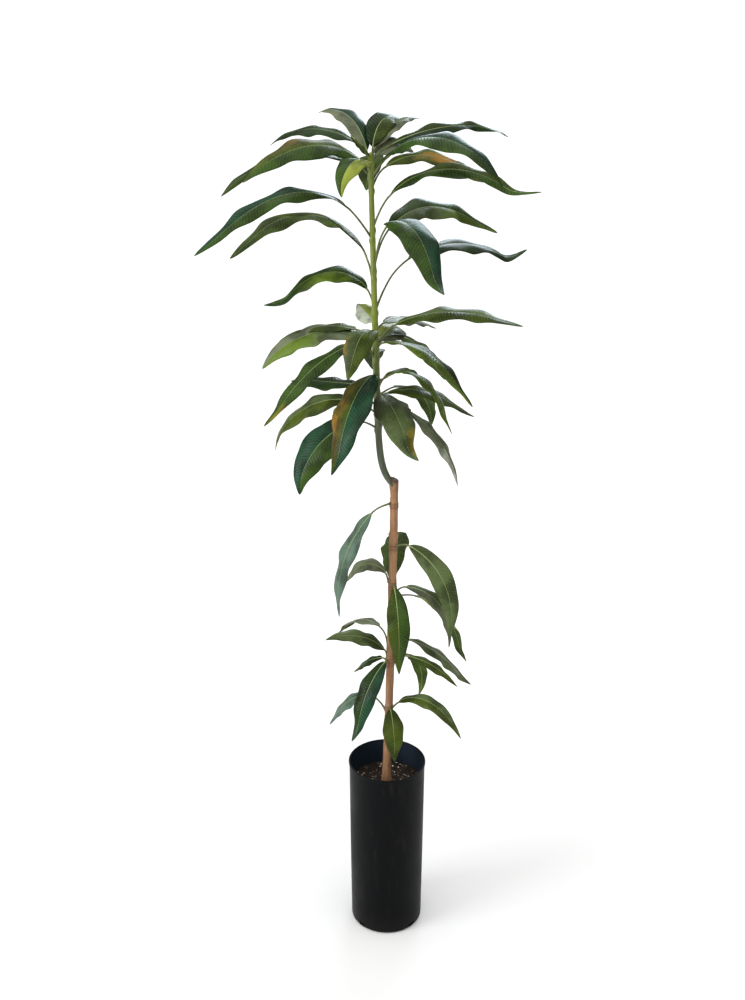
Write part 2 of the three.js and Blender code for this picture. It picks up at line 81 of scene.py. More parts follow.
# The leaves of each mass, from its lowest on the shoot, or of each ring. Rise, lift and fall
# are the slopes of the petiole, of the blade's base and of its tip. Tones are those of the
# left and right halves, seen along the blade from its stem. A patch is (half, from, to, how
# far out it starts or, below 0, how far out it ends, tone). None stands for a seeded value.
# Many tones paint the light on a half: its sheen, the sky it mirrors, the sun through it or its
# shade.
COLUMNS = (
    "at", "to", "blade", "rise", "lift", "fall", "petiole", "width", "roll", "sweep", "flick",
    "ease", "tones", "patches", "twist",
)
MASSES = {
    "top_rosette": [
        (1396, 10, 186, 69, 33, -53, 43, 35, 22, -5, 32, None, "olive",
         [("left", 0.34, 0.8, -0.35, "amber"), ("right", 0.34, 0.9, -0.65, "amber")]),
        (1414, -40, 250, 51, 48, -76, 33, 56, 17, 31, 8, 0.8, "blue green"),
        (1416, 160, 272, 45, 20, -44, 33, 62, 7, -17, 2, None, "deep"),
        (1417, -114, 126, 74, 34, -99, 22, 42, -3, -8, -16, 0.7, "light green"),
        (1424, 92, 156, 55, 18, -55, 23, 47, -14, 4, None, 1.7, "lime grey"),
        (1430, 212, 214, 36, 38, -42, 23, 51, -24, -22, 1, None, "green olive",
         [("right", 0.3, 0.66, 0.45, "russet")]),
        (1432, 27, 247, 50, 21, -24, 51, 23, 36, 26, 0, 1.0, "moss deep"),
        (1436, 124, 159, 56, 69, -11, 23, 36, -8, 4, -9, 1.6, "grey blue"),
        (1439, 158, 161, 59, 32, -30, 36, 39, -8, -1, -9, None, "deep"),
        (1434, 35, 86, 57, 47, -47, 18, 38, 30, 5, None, 1.1, "grey"),
        (1438, 62, 126, 68, 81, -29, 25, 42, 16, None, None, 1.5, "deep moss"),
        (1436, 45, 116, 74, 53, -12, 25, 28, 2, None, -5, 1.0, "sage grey"),
        (1441, -150, 48, 73, 56, 39, 6, 19, 5, -6, None, 1.4, "light"),
    ],
    "upper_shoot": [
        (1181, 107, 105, 19, 8, 0, 6, 37, -32, -4, -5, None, "silver light"),
        (1196, 166, 198, 81, 55, -53, 44, 48, -18, 14, 42, 2.0, "deep green",
         [("left", 0.14, 0.6, 0, "lime")]),
        (1199, 26, 236, 67, 26, -44, 104, 50, 6, 0, 60, 1.1, "deep"),
        (1196, 159, 315, 87, 72, -50, 89, 75, 25, -14, 10, 1.7, "olive green"),
        (1255, -60, 213, 80, 35, -66, 103, 61, 8, -9, 46, 1.7, "blue green"),
        (1269, 47, 242, 71, 33, -43, 73, 49, 27, -45, 13, None, "green sage",
         [("right", 0.5, 1, 0, "lime")]),
        (1318, 200, 278, 56, 42, -40, 70, 42, -12, 9, 7, 2.1, "green blue"),
        (1334, -22, 264, 69, 48, -43, 63, 28, 32, None, 48, None, "moss green"),
    ],
    "middle_tier": [
        (1086, 146, 148, -28, -6, -6, 43, 42, -13, -10, -15, None, "deep dark"),
        (1084, -36, 180, 16, 44, -84, 22, 29, -18, -4, 22, 1.4, "grey lime"),
        (1095, -117, 206, 11, 0, -75, 11, 65, 4, 1, 31, 1.5, "blue moss",
         [("right", 0.14, 0.85, 0.3, "russet"), ("right", 0.3, 0.66, 0.5, "amber")]),
        (1114, 217, 214, 67, -1, -55, 58, 38, -6, -17, 9, 1.5, "green",
         [("left", 0.84, 0.97, 0.3, "yellow")]),
        (1106, 94, 152, 41, 17, -54, 25, 40, 2, -8, 12, 1.6, "green"),
        (1122, -37, 209, 84, 19, -58, 34, 43, -8, -9, 14, None, "dark lime"),
        (1137, 53, 195, 42, -8, -56, 41, 37, -4, -17, 3, 1.5, "deep"),
        (1136, 152, 207, 39, 18, -48, 28, 58, 0, 41, -5, None, "lime grey",
         [("left", 0, 0.34, 0, "grey")], -52),
        (1145, -26, 229, 55, 30, -15, 53, 44, 20, -10, 9, None, "sage moss"),
        (1159, -113, 128, 47, 34, -68, 16, 47, -2, -3, 11, 1.7, "olive sage",
         [("right", 0.4, 0.58, 0.74, "amber")]),
        (1138, 61, 100, 22, 27, -51, 22, 43, 30, 5, -8, 0.8, "light grey"),
        (1159, 143, 179, 10, 4, -28, 41, 47, -9, 2, -11, 1.4, "moss olive"),
        (1166, 51, 142, 37, 4, -30, 26, 41, 9, None, 1, None, "grey"),
    ],
    "lower_tier": [
        (998, 200, 164, 38, -10, -76, 48, 63, -33, 22, -13, None, "green blue"),
        (1006, -20, 159, 57, -24, -77, 64, 32, 4, 14, -2, None, "grey",
         [("right", 0.55, 1, 0, "silver")]),
        (1016, 67, 147, 37, 9, -69, 33, 41, None, 9, None, None, "grey"),
        (1026, 168, 177, 29, 6, -58, 55, 49, -32, 4, -24, 1.6, "olive sage"),
        (1035, 131, 140, 33, 7, -77, 27, 42, -6, None, None, None, "green"),
        (1052, -69, 159, 52, 7, -85, 19, 62, 3, 22, 60, 1.0, "sage",
         [("left", 0.62, 0.97, 0.3, "yellow"), ("left", 0, 0.3, 0, "grey"),
          ("right", 0, 0.26, 0, "grey")]),
        (1052, -16, 159, 39, 25, -48, 21, 42, None, 23, 16, None, "olive moss"),
        (1056, 47, 154, 15, -4, -75, 46, 52, -8, 15, -17, 1.1, "grey"),
        (1062, 52, 108, 61, 26, -46, 28, 26, -16, -11, 13, None, "grey"),
    ],
    "ring_5": [
        (865, 202, 204, -9, -44, -93, 38, 37, -17, -8, -5, None, "sea"),
    ],
    "ring_4": [
        (780, 88, 187, 28, -23, -81, 39, 55, -26, 14, 9, 1.4, "lime moss"),
        (786, -31, 195, 24, -14, -100, 26, 39, 42, -8, 0, None, "sage"),
    ],
    "ring_3": [
        (686, 20, 197, -3, -25, -88, 40, 47, -2, 20, 27, None, "grey light"),
        (712, -80, 160, 7, -34, -102, 12, 40, 8, 2, 19, 1.5, "green moss"),
        (697, -12, 158, 44, 4, -95, 20, 32, 9, -4, -2, 1.4, "sage grey"),
        (713, 174, 93, 79, 62, -81, 19, 28, -25, 4, 14, None, "grey"),
    ],
    "ring_2": [
        (560, 230, 159, 19, -21, -84, 8, 40, -7, -8, 28, 1.5, "blue deep"),
        (548, 53, 128, 12, -23, -106, 44, 31, -7, -10, -14, 1.1, "light lime"),
        (556, 159, 72, 41, -9, -58, 9, 26, -9, -8, 12, 1.4, "deep"),
        (558, -28, 107, 45, 3, -51, 34, 23, 14, 4, 9, 0.9, "olive moss"),
        (564, 200, 126, 87, 54, -1, 18, 32, -33, 6, -8, 1.4, "sage"),
        (567, 15, 159, 76, -22, -62, 44, 54, -1, -15, 17, None, "olive sage"),
        (577, 138, 130, 86, 18, -59, 47, 37, 6, -7, 12, 1.5, "grey"),
    ],
    "ring_1": [
        (464, -79, 99, 9, -27, -90, 7, 38, None, None, None, 1.5, "olive"),
        (454, 155, 114, 53, -17, -72, 45, 35, -25, 16, 8, None, "sea"),
        (462, -32, 159, 50, 50, -58, 18, 27, 15, -3, 3, 1.4, "sage olive"),
    ],
}


def lerp(a, b, t):
    """The value t of the way from a to b."""
    return a + (b - a) * t


def clamp(t):
    """A number held between 0 and 1."""
    return min(max(t, 0.0), 1.0)


def smooth(t):
    """A smooth step from 0 to 1."""
    t = clamp(t)
    return t * t * (3 - 2 * t)


def bell(x):
    """A hump of height 1 round 0."""
    return math.exp(-(x ** 2))


def chance(seed):
    """A repeatable number from 0 to 1 for a seed."""
    x = math.sin(seed * 12.9898 + 4.137) * 43758.5453
    return x - math.floor(x)


def level(heading):
    """The level direction of a heading."""
    turn = math.radians(heading)
    return Vector((math.cos(turn), math.sin(turn), 0))


def traits(seed, row):
    """Every trait of a leaf, with the seeded ones filled in."""
    given = {name: value for name, value in zip(COLUMNS, row) if value is not None}
    left, _, right = given["tones"].partition(" ")
    return {
        "seed": seed,
        "sweep": SPREAD["sweep"] * (chance(seed) - 0.5),
        "roll": SPREAD["light"] * math.cos(math.radians(given["to"]))
        + SPREAD["roll"] * (chance(seed + 0.3) - 0.5),
        "twist": SPREAD["twist"] * (chance(seed + 0.6) - 0.5),
        "flick": SPREAD["flick"] * chance(seed + 0.8),
        "ease": LEAF["ease"],
        "phase": 2 * math.pi * chance(seed + 0.9),
        "left": left,
        "right": right or left,
        "patches": (),
        **given,
    }


def all_leaves():
    """The leaves of every mass, with seeds that count up from 1."""
    leaves, seed = {}, 0
    for name, rows in MASSES.items():
        leaves[name] = [traits(seed + i, row) for i, row in enumerate(rows, 1)]
        seed += len(rows)
    return leaves


LEAVES = all_leaves()


def trunk_at(z):
    """Centre of the trunk at a height."""
    u = (z - SOIL["top"]) / (TRUNK["top"] - SOIL["top"])
    bow = TRUNK["bow"] * math.sin(math.pi * clamp(u))
    return Vector((TRUNK["x"] + TRUNK["lean"] * u + bow, 0.6 * bow, z))


def trunk_radius(z):
    """Radius of the trunk at a height, with its root flare."""
    u = clamp((z - SOIL["top"]) / (TRUNK["top"] - SOIL["top"]))
    flare = math.exp(-max(0.0, z - SOIL["top"]) / TRUNK_GIRTH["flare_height"])
    return TRUNK_GIRTH["radius"] - TRUNK_GIRTH["taper"] * u + TRUNK_GIRTH["flare"] * flare


def shoot_at(z):
    """Centre of the green shoot at a height."""
    u = (z - SHOOT["foot"]) / (SHOOT["top"] - SHOOT["foot"])
    kick = SHOOT["kick"] * math.exp(-(z - SHOOT["foot"] - 3) / SHOOT["settle"])
    return Vector((SHOOT["x"] + SHOOT["lean"] * u + kick, 2 * math.sin(5 * u), z))


def shoot_radius(z):
    """Radius of the green shoot at a height."""
    u = (z - SHOOT["foot"]) / (SHOOT["top"] - SHOOT["foot"])
    swell = SHOOT_GIRTH["swell"] * math.exp(-(z - SHOOT["foot"]) / SHOOT["settle"])
    return SHOOT_GIRTH["radius"] - SHOOT_GIRTH["taper"] * u + swell


def pot_radius(z):
    """Outer radius of the pot's wall at a height."""
    return lerp(POT["foot"], POT["rim"] - LIP["proud"], z / POT["height"])


def mix_radius(z):
    """Radius of the mix in the pot at a height."""
    return pot_radius(z) - POT["wall"] - CLEAR


def half_width(row, t):
    """Half the blade's width at t along it, and the share of its fullness there."""
    body = math.sin(math.pi * min(t, 1.0) ** BLADE["lean"])
    shape = max(body, 0.0) ** BLADE["fullness"] * (1 - BLADE["drawn"] * t ** BLADE["drawn_from"])
    return max(0.5 * row["width"] * shape, NECK * (1 - 0.6 * t)), shape


def bearing(row, s):
    """Rise and heading of the midrib, at s from 0 to 1 on the petiole and to 2 on the blade."""
    if s < 1:
        return lerp(row["rise"], row["lift"], s * s), row["to"]
    t = s - 1
    droop = max(1 - t, 0.0) ** row["ease"]
    flick = row["flick"] * smooth((t - 0.74) / 0.2)
    return lerp(row["fall"], row["lift"], droop) + flick, row["to"] + row["sweep"] * t * t


def pointing(rise, heading):
    """The direction of a rise and a heading."""
    up, turn = math.radians(rise), math.radians(heading)
    return Vector((math.cos(up) * math.cos(turn), math.cos(up) * math.sin(turn), math.sin(up)))


def rooted(row, mass):
    """Where a leaf's petiole starts: in the trunk's skin, or on the shoot's axis."""
    if mass in RINGS:
        return trunk_at(row["at"]) + trunk_radius(RINGS[mass][0]) * level(row["to"])
    return shoot_at(row["at"])


class Midrib:
    """A leaf's midrib as a smooth path through the stations of the source's rule."""

    def __init__(self, row, root):
        """Works out the stations once."""
        self.row = row
        self.places = [root.copy()]
        for start, (part, steps) in enumerate(STATIONS.items()):
            for i in range(steps):
                way = pointing(*bearing(row, start + i / steps + 0.5 / steps))
                self.places.append(self.places[-1] + row[part] / steps * way)

    def place(self, s):
        """Where the midrib is at s, from 0 to 2."""
        petiole, blade = STATIONS.values()
        at = s * petiole if s < 1 else petiole + (s - 1) * blade
        last = len(self.places) - 1
        i = min(int(at), last - 1)
        f = at - i
        a, b, c, d = (self.places[min(max(i + k, 0), last)] for k in (-1, 0, 1, 2))
        return 0.5 * (
            2 * b + (c - a) * f + (2 * a - 5 * b + 4 * c - d) * f * f
            + (3 * b - a - 3 * c + d) * f ** 3
        )

    def sides(self, s):
        """The side and upward directions at s."""
        rise, heading = bearing(self.row, s)
        forward = pointing(rise, heading)
        turn = math.radians(heading)
        flat = Vector((-math.sin(turn), math.cos(turn), 0))
        roll = 0.0 if s < 1 else math.radians(self.row["roll"] + self.row["twist"] * (s - 1))
        side = Matrix.Rotation(roll, 3, forward) @ flat
        return side, forward.cross(side)


# ---- Settings ------------------------------------------------------------------


def colour_setting(name, description, default):
    """A colour that a user may change."""
    return bpy.props.FloatVectorProperty(
        name=name, description=description, default=default, size=3, min=0, max=1, subtype="COLOR"
    )


def length_setting(name, description, default):
    """A length that a user may change."""
    return bpy.props.FloatProperty(
        name=name, description=description, default=default, min=0.0, unit="LENGTH"
    )


class LeafSettings(bpy.types.PropertyGroup):
    """Sizes and tones of the leaves."""

    deep: colour_setting("Deep", "Old leaves in shade", (0.0075, 0.0185, 0.0036))
    green: colour_setting("Green", "Grown leaves", (0.017, 0.036, 0.005))
    olive: colour_setting("Olive", "Leaves with the sun through them", (0.031, 0.0445, 0.0045))
    blue: colour_setting("Blue green", "Halves that mirror the sky", (0.006, 0.026, 0.0125))
    # Sea green is partly the waxy leaves' own blue-green and partly a painted sheen of the sky on
    # them.
    sea: colour_setting("Sea green", "Waxy leaves", (0.046, 0.074, 0.053))
    dark: colour_setting("Dark", "Halves turned away from the light", (0.0055, 0.011, 0.0015))
    moss: colour_setting("Moss", "Old halves in the sun", (0.022, 0.034, 0.0035))
    sage: colour_setting("Sage", "Dull leaves with a faint sheen", (0.045, 0.062, 0.022))
    grey: colour_setting("Grey green", "Leaves with a sheen", (0.07, 0.08, 0.046))
    # Silver is partly a pale bloom and partly a painted sheen, where a half or a leaf's base
    # catches the sky.
    silver: colour_setting("Silver", "Dry leaves with a pale bloom", (0.26, 0.28, 0.22))
    light: colour_setting("Light", "Young yellow-green leaves", (0.137, 0.162, 0.022))
    lime: colour_setting("Lime", "Leaves that are still turning dark", (0.053, 0.083, 0.009))
    amber: colour_setting("Amber", "Ageing margins", (0.165, 0.085, 0.011))
    russet: colour_setting("Russet", "Sunburnt halves", (0.062, 0.045, 0.0075))
    yellow: colour_setting("Yellow", "Fading tips", (0.170, 0.125, 0.006))
    under: colour_setting("Underside", "The leaves' undersides", (0.04, 0.066, 0.01))
    rib: colour_setting("Midrib", "The pale midribs", (0.18, 0.24, 0.075))
    petiole: colour_setting("Petiole", "The leaf stalks", (0.085, 0.105, 0.03))
    thickness: length_setting("Thickness", "Thickness of a blade", 0.0005)
    vein_spacing: length_setting("Vein spacing", "Distance between side veins", 0.0058)


class StemSettings(bpy.types.PropertyGroup):
    """Colours and relief of the trunk and the shoot."""

    bark: colour_setting("Bark", "The trunk's lit bark", (0.275, 0.148, 0.072))
    bark_dark: colour_setting("Dark bark", "Streaks and scars", (0.095, 0.040, 0.020))
    stub: colour_setting("Stub", "The dried cut on the trunk", (0.075, 0.035, 0.025))
    shoot: colour_setting("Shoot", "The young green shoot", (0.130, 0.170, 0.006))
    shoot_old: colour_setting("Old shoot", "The shoot's hardened foot", (0.055, 0.07, 0.03))
    relief: length_setting("Relief", "Depth of the bark's relief", 0.00035)


class PotSettings(bpy.types.PropertyGroup):
    """Finish of the pot."""

    # Inside is the same black plastic, made lighter and bluer: painted sky light on the inner
    # wall.
    inside: colour_setting("Inside", "The plastic inside the pot", (0.010, 0.015, 0.023))
    plastic: colour_setting("Plastic", "The pot's black plastic", (0.0016, 0.0019, 0.0023))
    scuff: colour_setting("Scuffs", "Dust and scuffs on the plastic", (0.045, 0.040, 0.036))
    wobble: length_setting("Wobble", "How far the rim is out of round", 0.0006)


class MixSettings(bpy.types.PropertyGroup):
    """Colours and amounts of the potting mix."""

    earth: colour_setting("Mix", "The mix between its crumbs", (0.0090, 0.0055, 0.0035))
    crumb: colour_setting("Crumbs", "Crumbs of bark", (0.036, 0.018, 0.010))
    grain: colour_setting("Grains", "White mineral grains", (0.700, 0.640, 0.560))
    crumbs: bpy.props.IntProperty(name="Crumbs", description="Number of crumbs", default=620)
    grains: bpy.props.IntProperty(name="Grains", description="Number of grains", default=170)


class StageSettings(bpy.types.PropertyGroup):
    """The plain studio."""

    floor: colour_setting("Floor", "The pale floor", (0.80, 0.80, 0.80))
    sky: bpy.props.FloatProperty(name="Sky", description="Strength of the sky", default=0.24)
    sun: bpy.props.FloatProperty(name="Sun", description="Strength of the soft sun", default=4.3)
    camera: bpy.props.FloatVectorProperty(
        name="Camera", description="Place of the camera", default=(-0.0271, -2.1252, 1.7291),
        subtype="TRANSLATION", unit="LENGTH",
    )
    tilt: bpy.props.FloatProperty(
        name="Tilt", description="How far the camera looks down", default=math.radians(22),
        subtype="ANGLE",
    )
    lens: bpy.props.FloatProperty(name="Lens", description="Focal length in mm", default=48)


# ---- Shader groups and materials -----------------------------------------------


class Nodes:
    """Adds nodes to a shader tree and links them."""

    def __init__(self, tree):
        """Keeps the tree."""
        self.tree = tree

    def feed(self, node, inputs):
        """Links or fills a node's inputs, by name or number."""
        for socket, value in inputs.items():
            if isinstance(value, bpy.types.NodeSocket):
                self.tree.links.new(value, node.inputs[socket])
            else:
                node.inputs[socket].default_value = value

    def add(self, kind, inputs=None, out=0, **properties):
        """One output of a new node, its properties set and its inputs fed."""
        node = self.tree.nodes.new(f"ShaderNode{kind}")
        for name, value in properties.items():
            setattr(node, name, value)
        self.feed(node, inputs or {})
        return node.outputs[out]

    def group(self, group, **inputs):
        """The outputs of a node of that group."""
        node = self.tree.nodes.new("ShaderNodeGroup")
        node.node_tree = group
        self.feed(node, inputs)
        return node.outputs

    def math(self, operation, *values, clamped=False):
        """The result of a Math node."""
        inputs = dict(enumerate(values))
        return self.add("Math", inputs, operation=operation, use_clamp=clamped)

    def times(self, a, b, clamped=False):
        """A product."""
        return self.math("MULTIPLY", a, b, clamped=clamped)

    def plus(self, a, b, clamped=False):
        """A sum."""
        return self.math("ADD", a, b, clamped=clamped)

    def less(self, a, b):
        """A difference."""
        return self.math("SUBTRACT", a, b)

    def mix(self, factor, a, b):
        """A colour between two, which are outputs or plain colours."""
        a, b = (v if isinstance(v, bpy.types.NodeSocket) else (*v, 1.0) for v in (a, b))
        return self.add("Mix", {"Factor": factor, 6: a, 7: b}, 2, data_type="RGBA")

    def mask(self, value, low, high):
        """A smooth mask that goes from 0 at low to 1 at high."""
        inputs = {"Value": value, "From Min": low, "From Max": high}
        return self.add("MapRange", inputs, interpolation_type="SMOOTHSTEP")

    def noise(self, vector, scale, detail=3.0, roughness=0.55):
        """The value of a noise texture."""
        inputs = {"Vector": vector, "Scale": scale, "Detail": detail, "Roughness": roughness}
        return self.add("TexNoise", inputs, "Fac")

    def place(self):
        """Object coordinates."""
        return self.add("TexCoord", out="Object")

    def height(self):
        """The height above the ground."""
        return self.add("SeparateXYZ", {0: self.place()}, 2)

    def painted(self, name):
        """A value painted on the mesh."""
        return self.add("Attribute", out="Fac", attribute_name=name)


class Finish(Nodes):
    """The nodes of a material while it is made."""

    def __init__(self, name, rough, gloss):
        """Starts a material with a Principled shader."""
        self.material = bpy.data.materials.new(name)
        self.material.use_nodes = True
        super().__init__(self.material.node_tree)
        self.shader = self.tree.nodes["Principled BSDF"]
        self.feed(self.shader, {"Roughness": rough, "Specular IOR Level": gloss})

    def mottle(self, scale, low, high, stretch=(1.0, 1.0, 1.0)):
        """The outputs of the mottle, placed with those values."""
        return self.group(mottle_group(), Scale=scale, Stretch=stretch, Low=low, High=high)

    def done(self, colour, bumps=None, depth=0.0, **more):
        """Feeds the shader and returns the material."""
        self.feed(self.shader, {"Base Color": colour, **more})
        if bumps is not None:
            bump = {"Height": bumps, "Distance": depth, "Strength": 1.0}
            self.feed(self.shader, {"Normal": self.add("Bump", bump)})
        return self.material


def new_group(name, inputs, outputs):
    """A shader node group's nodes, its given inputs and its output node."""
    tree = bpy.data.node_groups.new(name, "ShaderNodeTree")
    for socket, default in inputs.items():
        kind = "NodeSocketVector" if isinstance(default, tuple) else "NodeSocketFloat"
        made = tree.interface.new_socket(name=socket, in_out="INPUT", socket_type=kind)
        made.default_value = default
    for socket in outputs:
        tree.interface.new_socket(name=socket, in_out="OUTPUT", socket_type="NodeSocketFloat")
    given = tree.nodes.new("NodeGroupInput").outputs
    return Nodes(tree), given, tree.nodes.new("NodeGroupOutput")


@functools.cache
def vein_group():
    """Side veins of a blade, from a map in decimetres along and across it."""
    n, given, out = new_group(
        "Leaf veins", {"Spacing": 0.058, "Width": 0.14}, ("Vein", "Height", "Net")
    )
    flat = n.add("UVMap", uv_map="Leaf")
    along = n.add("SeparateXYZ", {0: flat})
    across = n.math("ABSOLUTE", along.node.outputs[1])
    # A vein leaves the midrib at a slant, bends towards the tip and wavers.
    slant = n.less(along, n.times(across, 0.55))
    bent = n.less(slant, n.times(n.times(across, across), 0.9))
    wavering = n.plus(bent, n.times(n.noise(flat, 6.0, 2.0), 0.09))
    turns = n.math("FRACT", n.math("DIVIDE", wavering, given["Spacing"]))
    vein = n.mask(n.math("ABSOLUTE", n.less(turns, 0.5)), given["Width"], 0.02)
    near_rib = n.mask(across, 0.004, 0.03)
    # The blade rises between its veins.
    pillow = n.math("ABSOLUTE", n.math("SINE", n.times(turns, math.pi)))
    net = n.noise(flat, 60.0, 4.0, 0.7)
    height = n.plus(n.times(pillow, near_rib), n.times(net, 0.35))
    n.feed(out, {"Vein": n.times(vein, near_rib), "Height": height, "Net": net})
    return n.tree


@functools.cache
def mottle_group():
    """Soft patches over a surface, from its Object coordinates."""
    n, given, out = new_group(
        "Mottle",
        {"Scale": 20.0, "Stretch": (1.0, 1.0, 1.0), "Low": 0.35, "High": 0.65},
        ("Mask", "Fine"),
    )
    stretched = n.add("VectorMath", {0: n.place(), 1: given["Stretch"]}, operation="MULTIPLY")
    coarse = n.noise(stretched, given["Scale"])
    fine = n.noise(stretched, n.times(given["Scale"], 7.0), 4.0, 0.65)
    n.feed(out, {"Mask": n.mask(coarse, given["Low"], given["High"]), "Fine": fine})
    return n.tree


def scaled(colour, by):
    """A colour, lighter or darker."""
    return tuple(min(1.0, c * by) for c in colour)


def leaf_finish(name, colour, spacing, under=False):
    """One tone of leaf blade, or the underside."""
    rough = 0.55 if under else 0.31
    n = Finish(f"Leaf {name}", rough, 0.08)
    veins = n.group(vein_group(), Spacing=spacing * 10, Width=0.14)
    patches = n.mottle(26.0, 0.38, 0.64)
    tint = n.mix(n.times(patches["Mask"], 0.9), scaled(colour, 1.52), scaled(colour, 0.45))
    tint = n.mix(n.times(veins["Net"], 0.35), tint, scaled(colour, 0.72))
    pale = tuple(lerp(c, p, 0.4) for c, p in zip(colour, (0.26, 0.34, 0.13), strict=True))
    tint = n.mix(n.times(veins["Vein"], 0.45 if under else 0.2), tint, pale)
    worn = n.plus(rough - 0.03, n.times(patches["Fine"], 0.12))
    return n.done(tint, veins["Height"], -0.0005 if under else 0.00025, Roughness=worn)


def stalk_finish(name, colour, rough):
    """Midribs and petioles."""
    n = Finish(name, rough, 0.4)
    patches = n.mottle(60.0, 0.3, 0.7)
    tint = n.mix(patches["Mask"], colour, scaled(colour, 0.72))
    return n.done(tint, patches["Fine"], 0.0002)


def bark_finish(look):
    """The trunk's smooth pinkish bark with darker streaks, pores and scars."""
    n = Finish("Bark", 0.72, 0.3)
    streaks = n.mottle(150.0, 0.42, 0.72, (1.0, 1.0, 0.11))
    clouds = n.mottle(34.0, 0.40, 0.70, (1.0, 1.0, 0.6))
    pores = n.add("TexVoronoi", {"Vector": n.place(), "Scale": 330.0}, "Distance")
    pore = n.mask(pores, 0.20, 0.08)
    tint = n.mix(streaks["Mask"], look.bark, scaled(look.bark, 0.52))
    tint = n.mix(n.times(clouds["Mask"], 0.45), tint, look.bark_dark)
    tint = n.mix(n.times(pore, 0.5), tint, scaled(look.bark, 1.5))
    tint = n.mix(n.times(n.painted("scar"), 0.85, clamped=True), tint, look.bark_dark)
    tint = n.mix(n.painted("dry"), tint, look.stub)
    return n.done(tint, n.plus(streaks["Fine"], n.times(pore, 0.6)), 0.0005)


def shoot_finish(look):
    """The green shoot, yellow-green above and greyer near its foot."""
    n = Finish("Green shoot", 0.42, 0.45)
    streaks = n.mottle(160.0, 0.40, 0.72, (1.0, 1.0, 0.08))
    young = n.mask(n.height(), 0.98, 1.20)
    base = n.mix(young, look.shoot_old, look.shoot)
    shade = n.mix(young, scaled(look.shoot_old, 0.6), scaled(look.shoot, 0.55))
    tint = n.mix(streaks["Mask"], base, shade)
    scars = n.times(n.painted("scar"), 0.55, clamped=True)
    return n.done(n.mix(scars, tint, scaled(look.shoot, 0.5)), streaks["Fine"], 0.0003)


def plastic_finish(name, plain, look):
    """Black moulded plastic, with a soft sheen, fine scuffs and dust near its foot."""
    n = Finish(name, 0.45, 0.07)
    scuffs = n.mottle(70.0, 0.55, 0.85, (1.0, 1.0, 0.25))
    clouds = n.mottle(9.0, 0.35, 0.70)
    foot = n.mask(n.height(), 0.055, 0.0)
    dust = n.plus(n.times(scuffs["Mask"], 0.22), n.times(foot, 0.10), clamped=True)
    rough = n.plus(0.40, n.times(clouds["Mask"], 0.10))
    rough = n.plus(rough, n.times(scuffs["Mask"], 0.18))
    return n.done(n.mix(dust, plain, look.scuff), clouds["Fine"], 0.0004, Roughness=rough)


def crumbly_finish(name, colour, light, rough):
    """Mix, crumbs and grains."""
    n = Finish(name, rough, 0.25)
    lumps = n.mottle(180.0, 0.40, 0.62)
    return n.done(n.mix(lumps["Mask"], colour, scaled(colour, light)), lumps["Fine"], 0.0012)


# ---- Meshes --------------------------------------------------------------------

TRUNK_MESH = {"rings": 311, "apart": 2, "sides": 44}
SHOOT_MESH = {"rings": 222, "apart": 2.5, "sides": 28}
STALK_MESH = {"petiole": 12, "midrib": 26, "end": 0.97, "sides": 8}
BLADE_CELLS = (60, 14)  # faces along and across a blade
SIDE_MARGIN = 0.06  # of a strip of the bake's map
TONE_STEPS = 4  # from one tone to the next
PATCH_EDGE = {"along": 0.34, "across": 0.4, "ragged": 0.4}
# How much wider than its solid a thin blade is, where its fold ends, and its arch, frill and
# uneven margin. The right half's waves run ahead of those of the left.
RELIEF = {"wider": 0.04, "folded": 0.2, "arch": 0.09, "frill": 0.22, "uneven": 0.03, "ahead": 2.1}
# Small swellings of the bark: height, angle, how far they stand proud, and their height.
KNOBS = (
    (898, 178, 2.4, 9), (888, 150, 1.2, 5), (872, 175, 1.0, 3), (861, 200, 1.6, 4),
    (806, 182, 2.6, 2.6), (803, -4, 1.6, 6), (789, 250, 1.5, 4), (777, 300, 1.3, 3),
    (702, 20, 1.3, 5), (690, -78, 1.4, 4), (562, 200, 1.4, 5), (553, -20, 1.3, 4),
    (458, -60, 1.4, 5), (380, 130, 0.9, 4), (420, 10, 0.8, 4), (620, 60, 0.9, 4),
)
BUD = ((0.86, 1.6), (0.55, 3.4), (0.22, 4.6))  # rings on the shoot: share of its girth, height
# The pot's lip: how far out from the wall, and how far down as a share of the lip's height.
LIP_CURVE = ((0.0, 1.0), (0.7, 0.92), (1.0, 0.72), (1.0, 0.25), (0.75, 0.08), (0.2, 0.0))
INNER_EDGE = ((0.9, 0.05), (0.2, 0.6), (0.0, 1.4))  # how far out from the bore, and down
SOLE = {"hollow": 1.2, "from": 6, "to": 4}  # how deep, and where its step is from the corner
ROUND_STEPS = {"pot": 144, "mix": 120}
STREWN = {"from_rim": 3, "from_trunk": 10.5}  # how far the lumps keep away


def verts_in(items):
    """The vertices among some parts of a mesh."""
    return [item for item in items if isinstance(item, bmesh.types.BMVert)]


def edges_in(items):
    """The edges among some parts of a mesh."""
    return [item for item in items if isinstance(item, bmesh.types.BMEdge)]


def unique(items):
    """Each item once, in their order."""
    return list(dict.fromkeys(items))


def loft(mesh, rings):
    """A closed tube through rings of places, extruded ring by ring from a circle."""
    start = bmesh.ops.create_circle(mesh, segments=len(rings[0]), radius=1)["verts"]
    order = {vert: i for i, vert in enumerate(start)}
    for vert, place in zip(start, rings[0], strict=True):
        vert.co = place
    edges = unique(edge for vert in start for edge in vert.link_edges)
    first, made = edges, list(start)
    for ring in rings[1:]:
        grown = bmesh.ops.extrude_edge_only(mesh, edges=edges)["geom"]
        fresh = {}
        for vert in verts_in(grown):
            others = (edge.other_vert(vert) for edge in vert.link_edges)
            fresh[vert] = next(order[other] for other in others if other in order)
            vert.co = ring[fresh[vert]]
        edges = [edge for edge in edges_in(grown) if all(v in fresh for v in edge.verts)]
        order = fresh
        made += fresh
    bmesh.ops.holes_fill(mesh, edges=first)
    bmesh.ops.holes_fill(mesh, edges=edges)
    faces = unique(face for vert in made for face in vert.link_faces)
    bmesh.ops.recalc_face_normals(mesh, faces=faces)
    return made


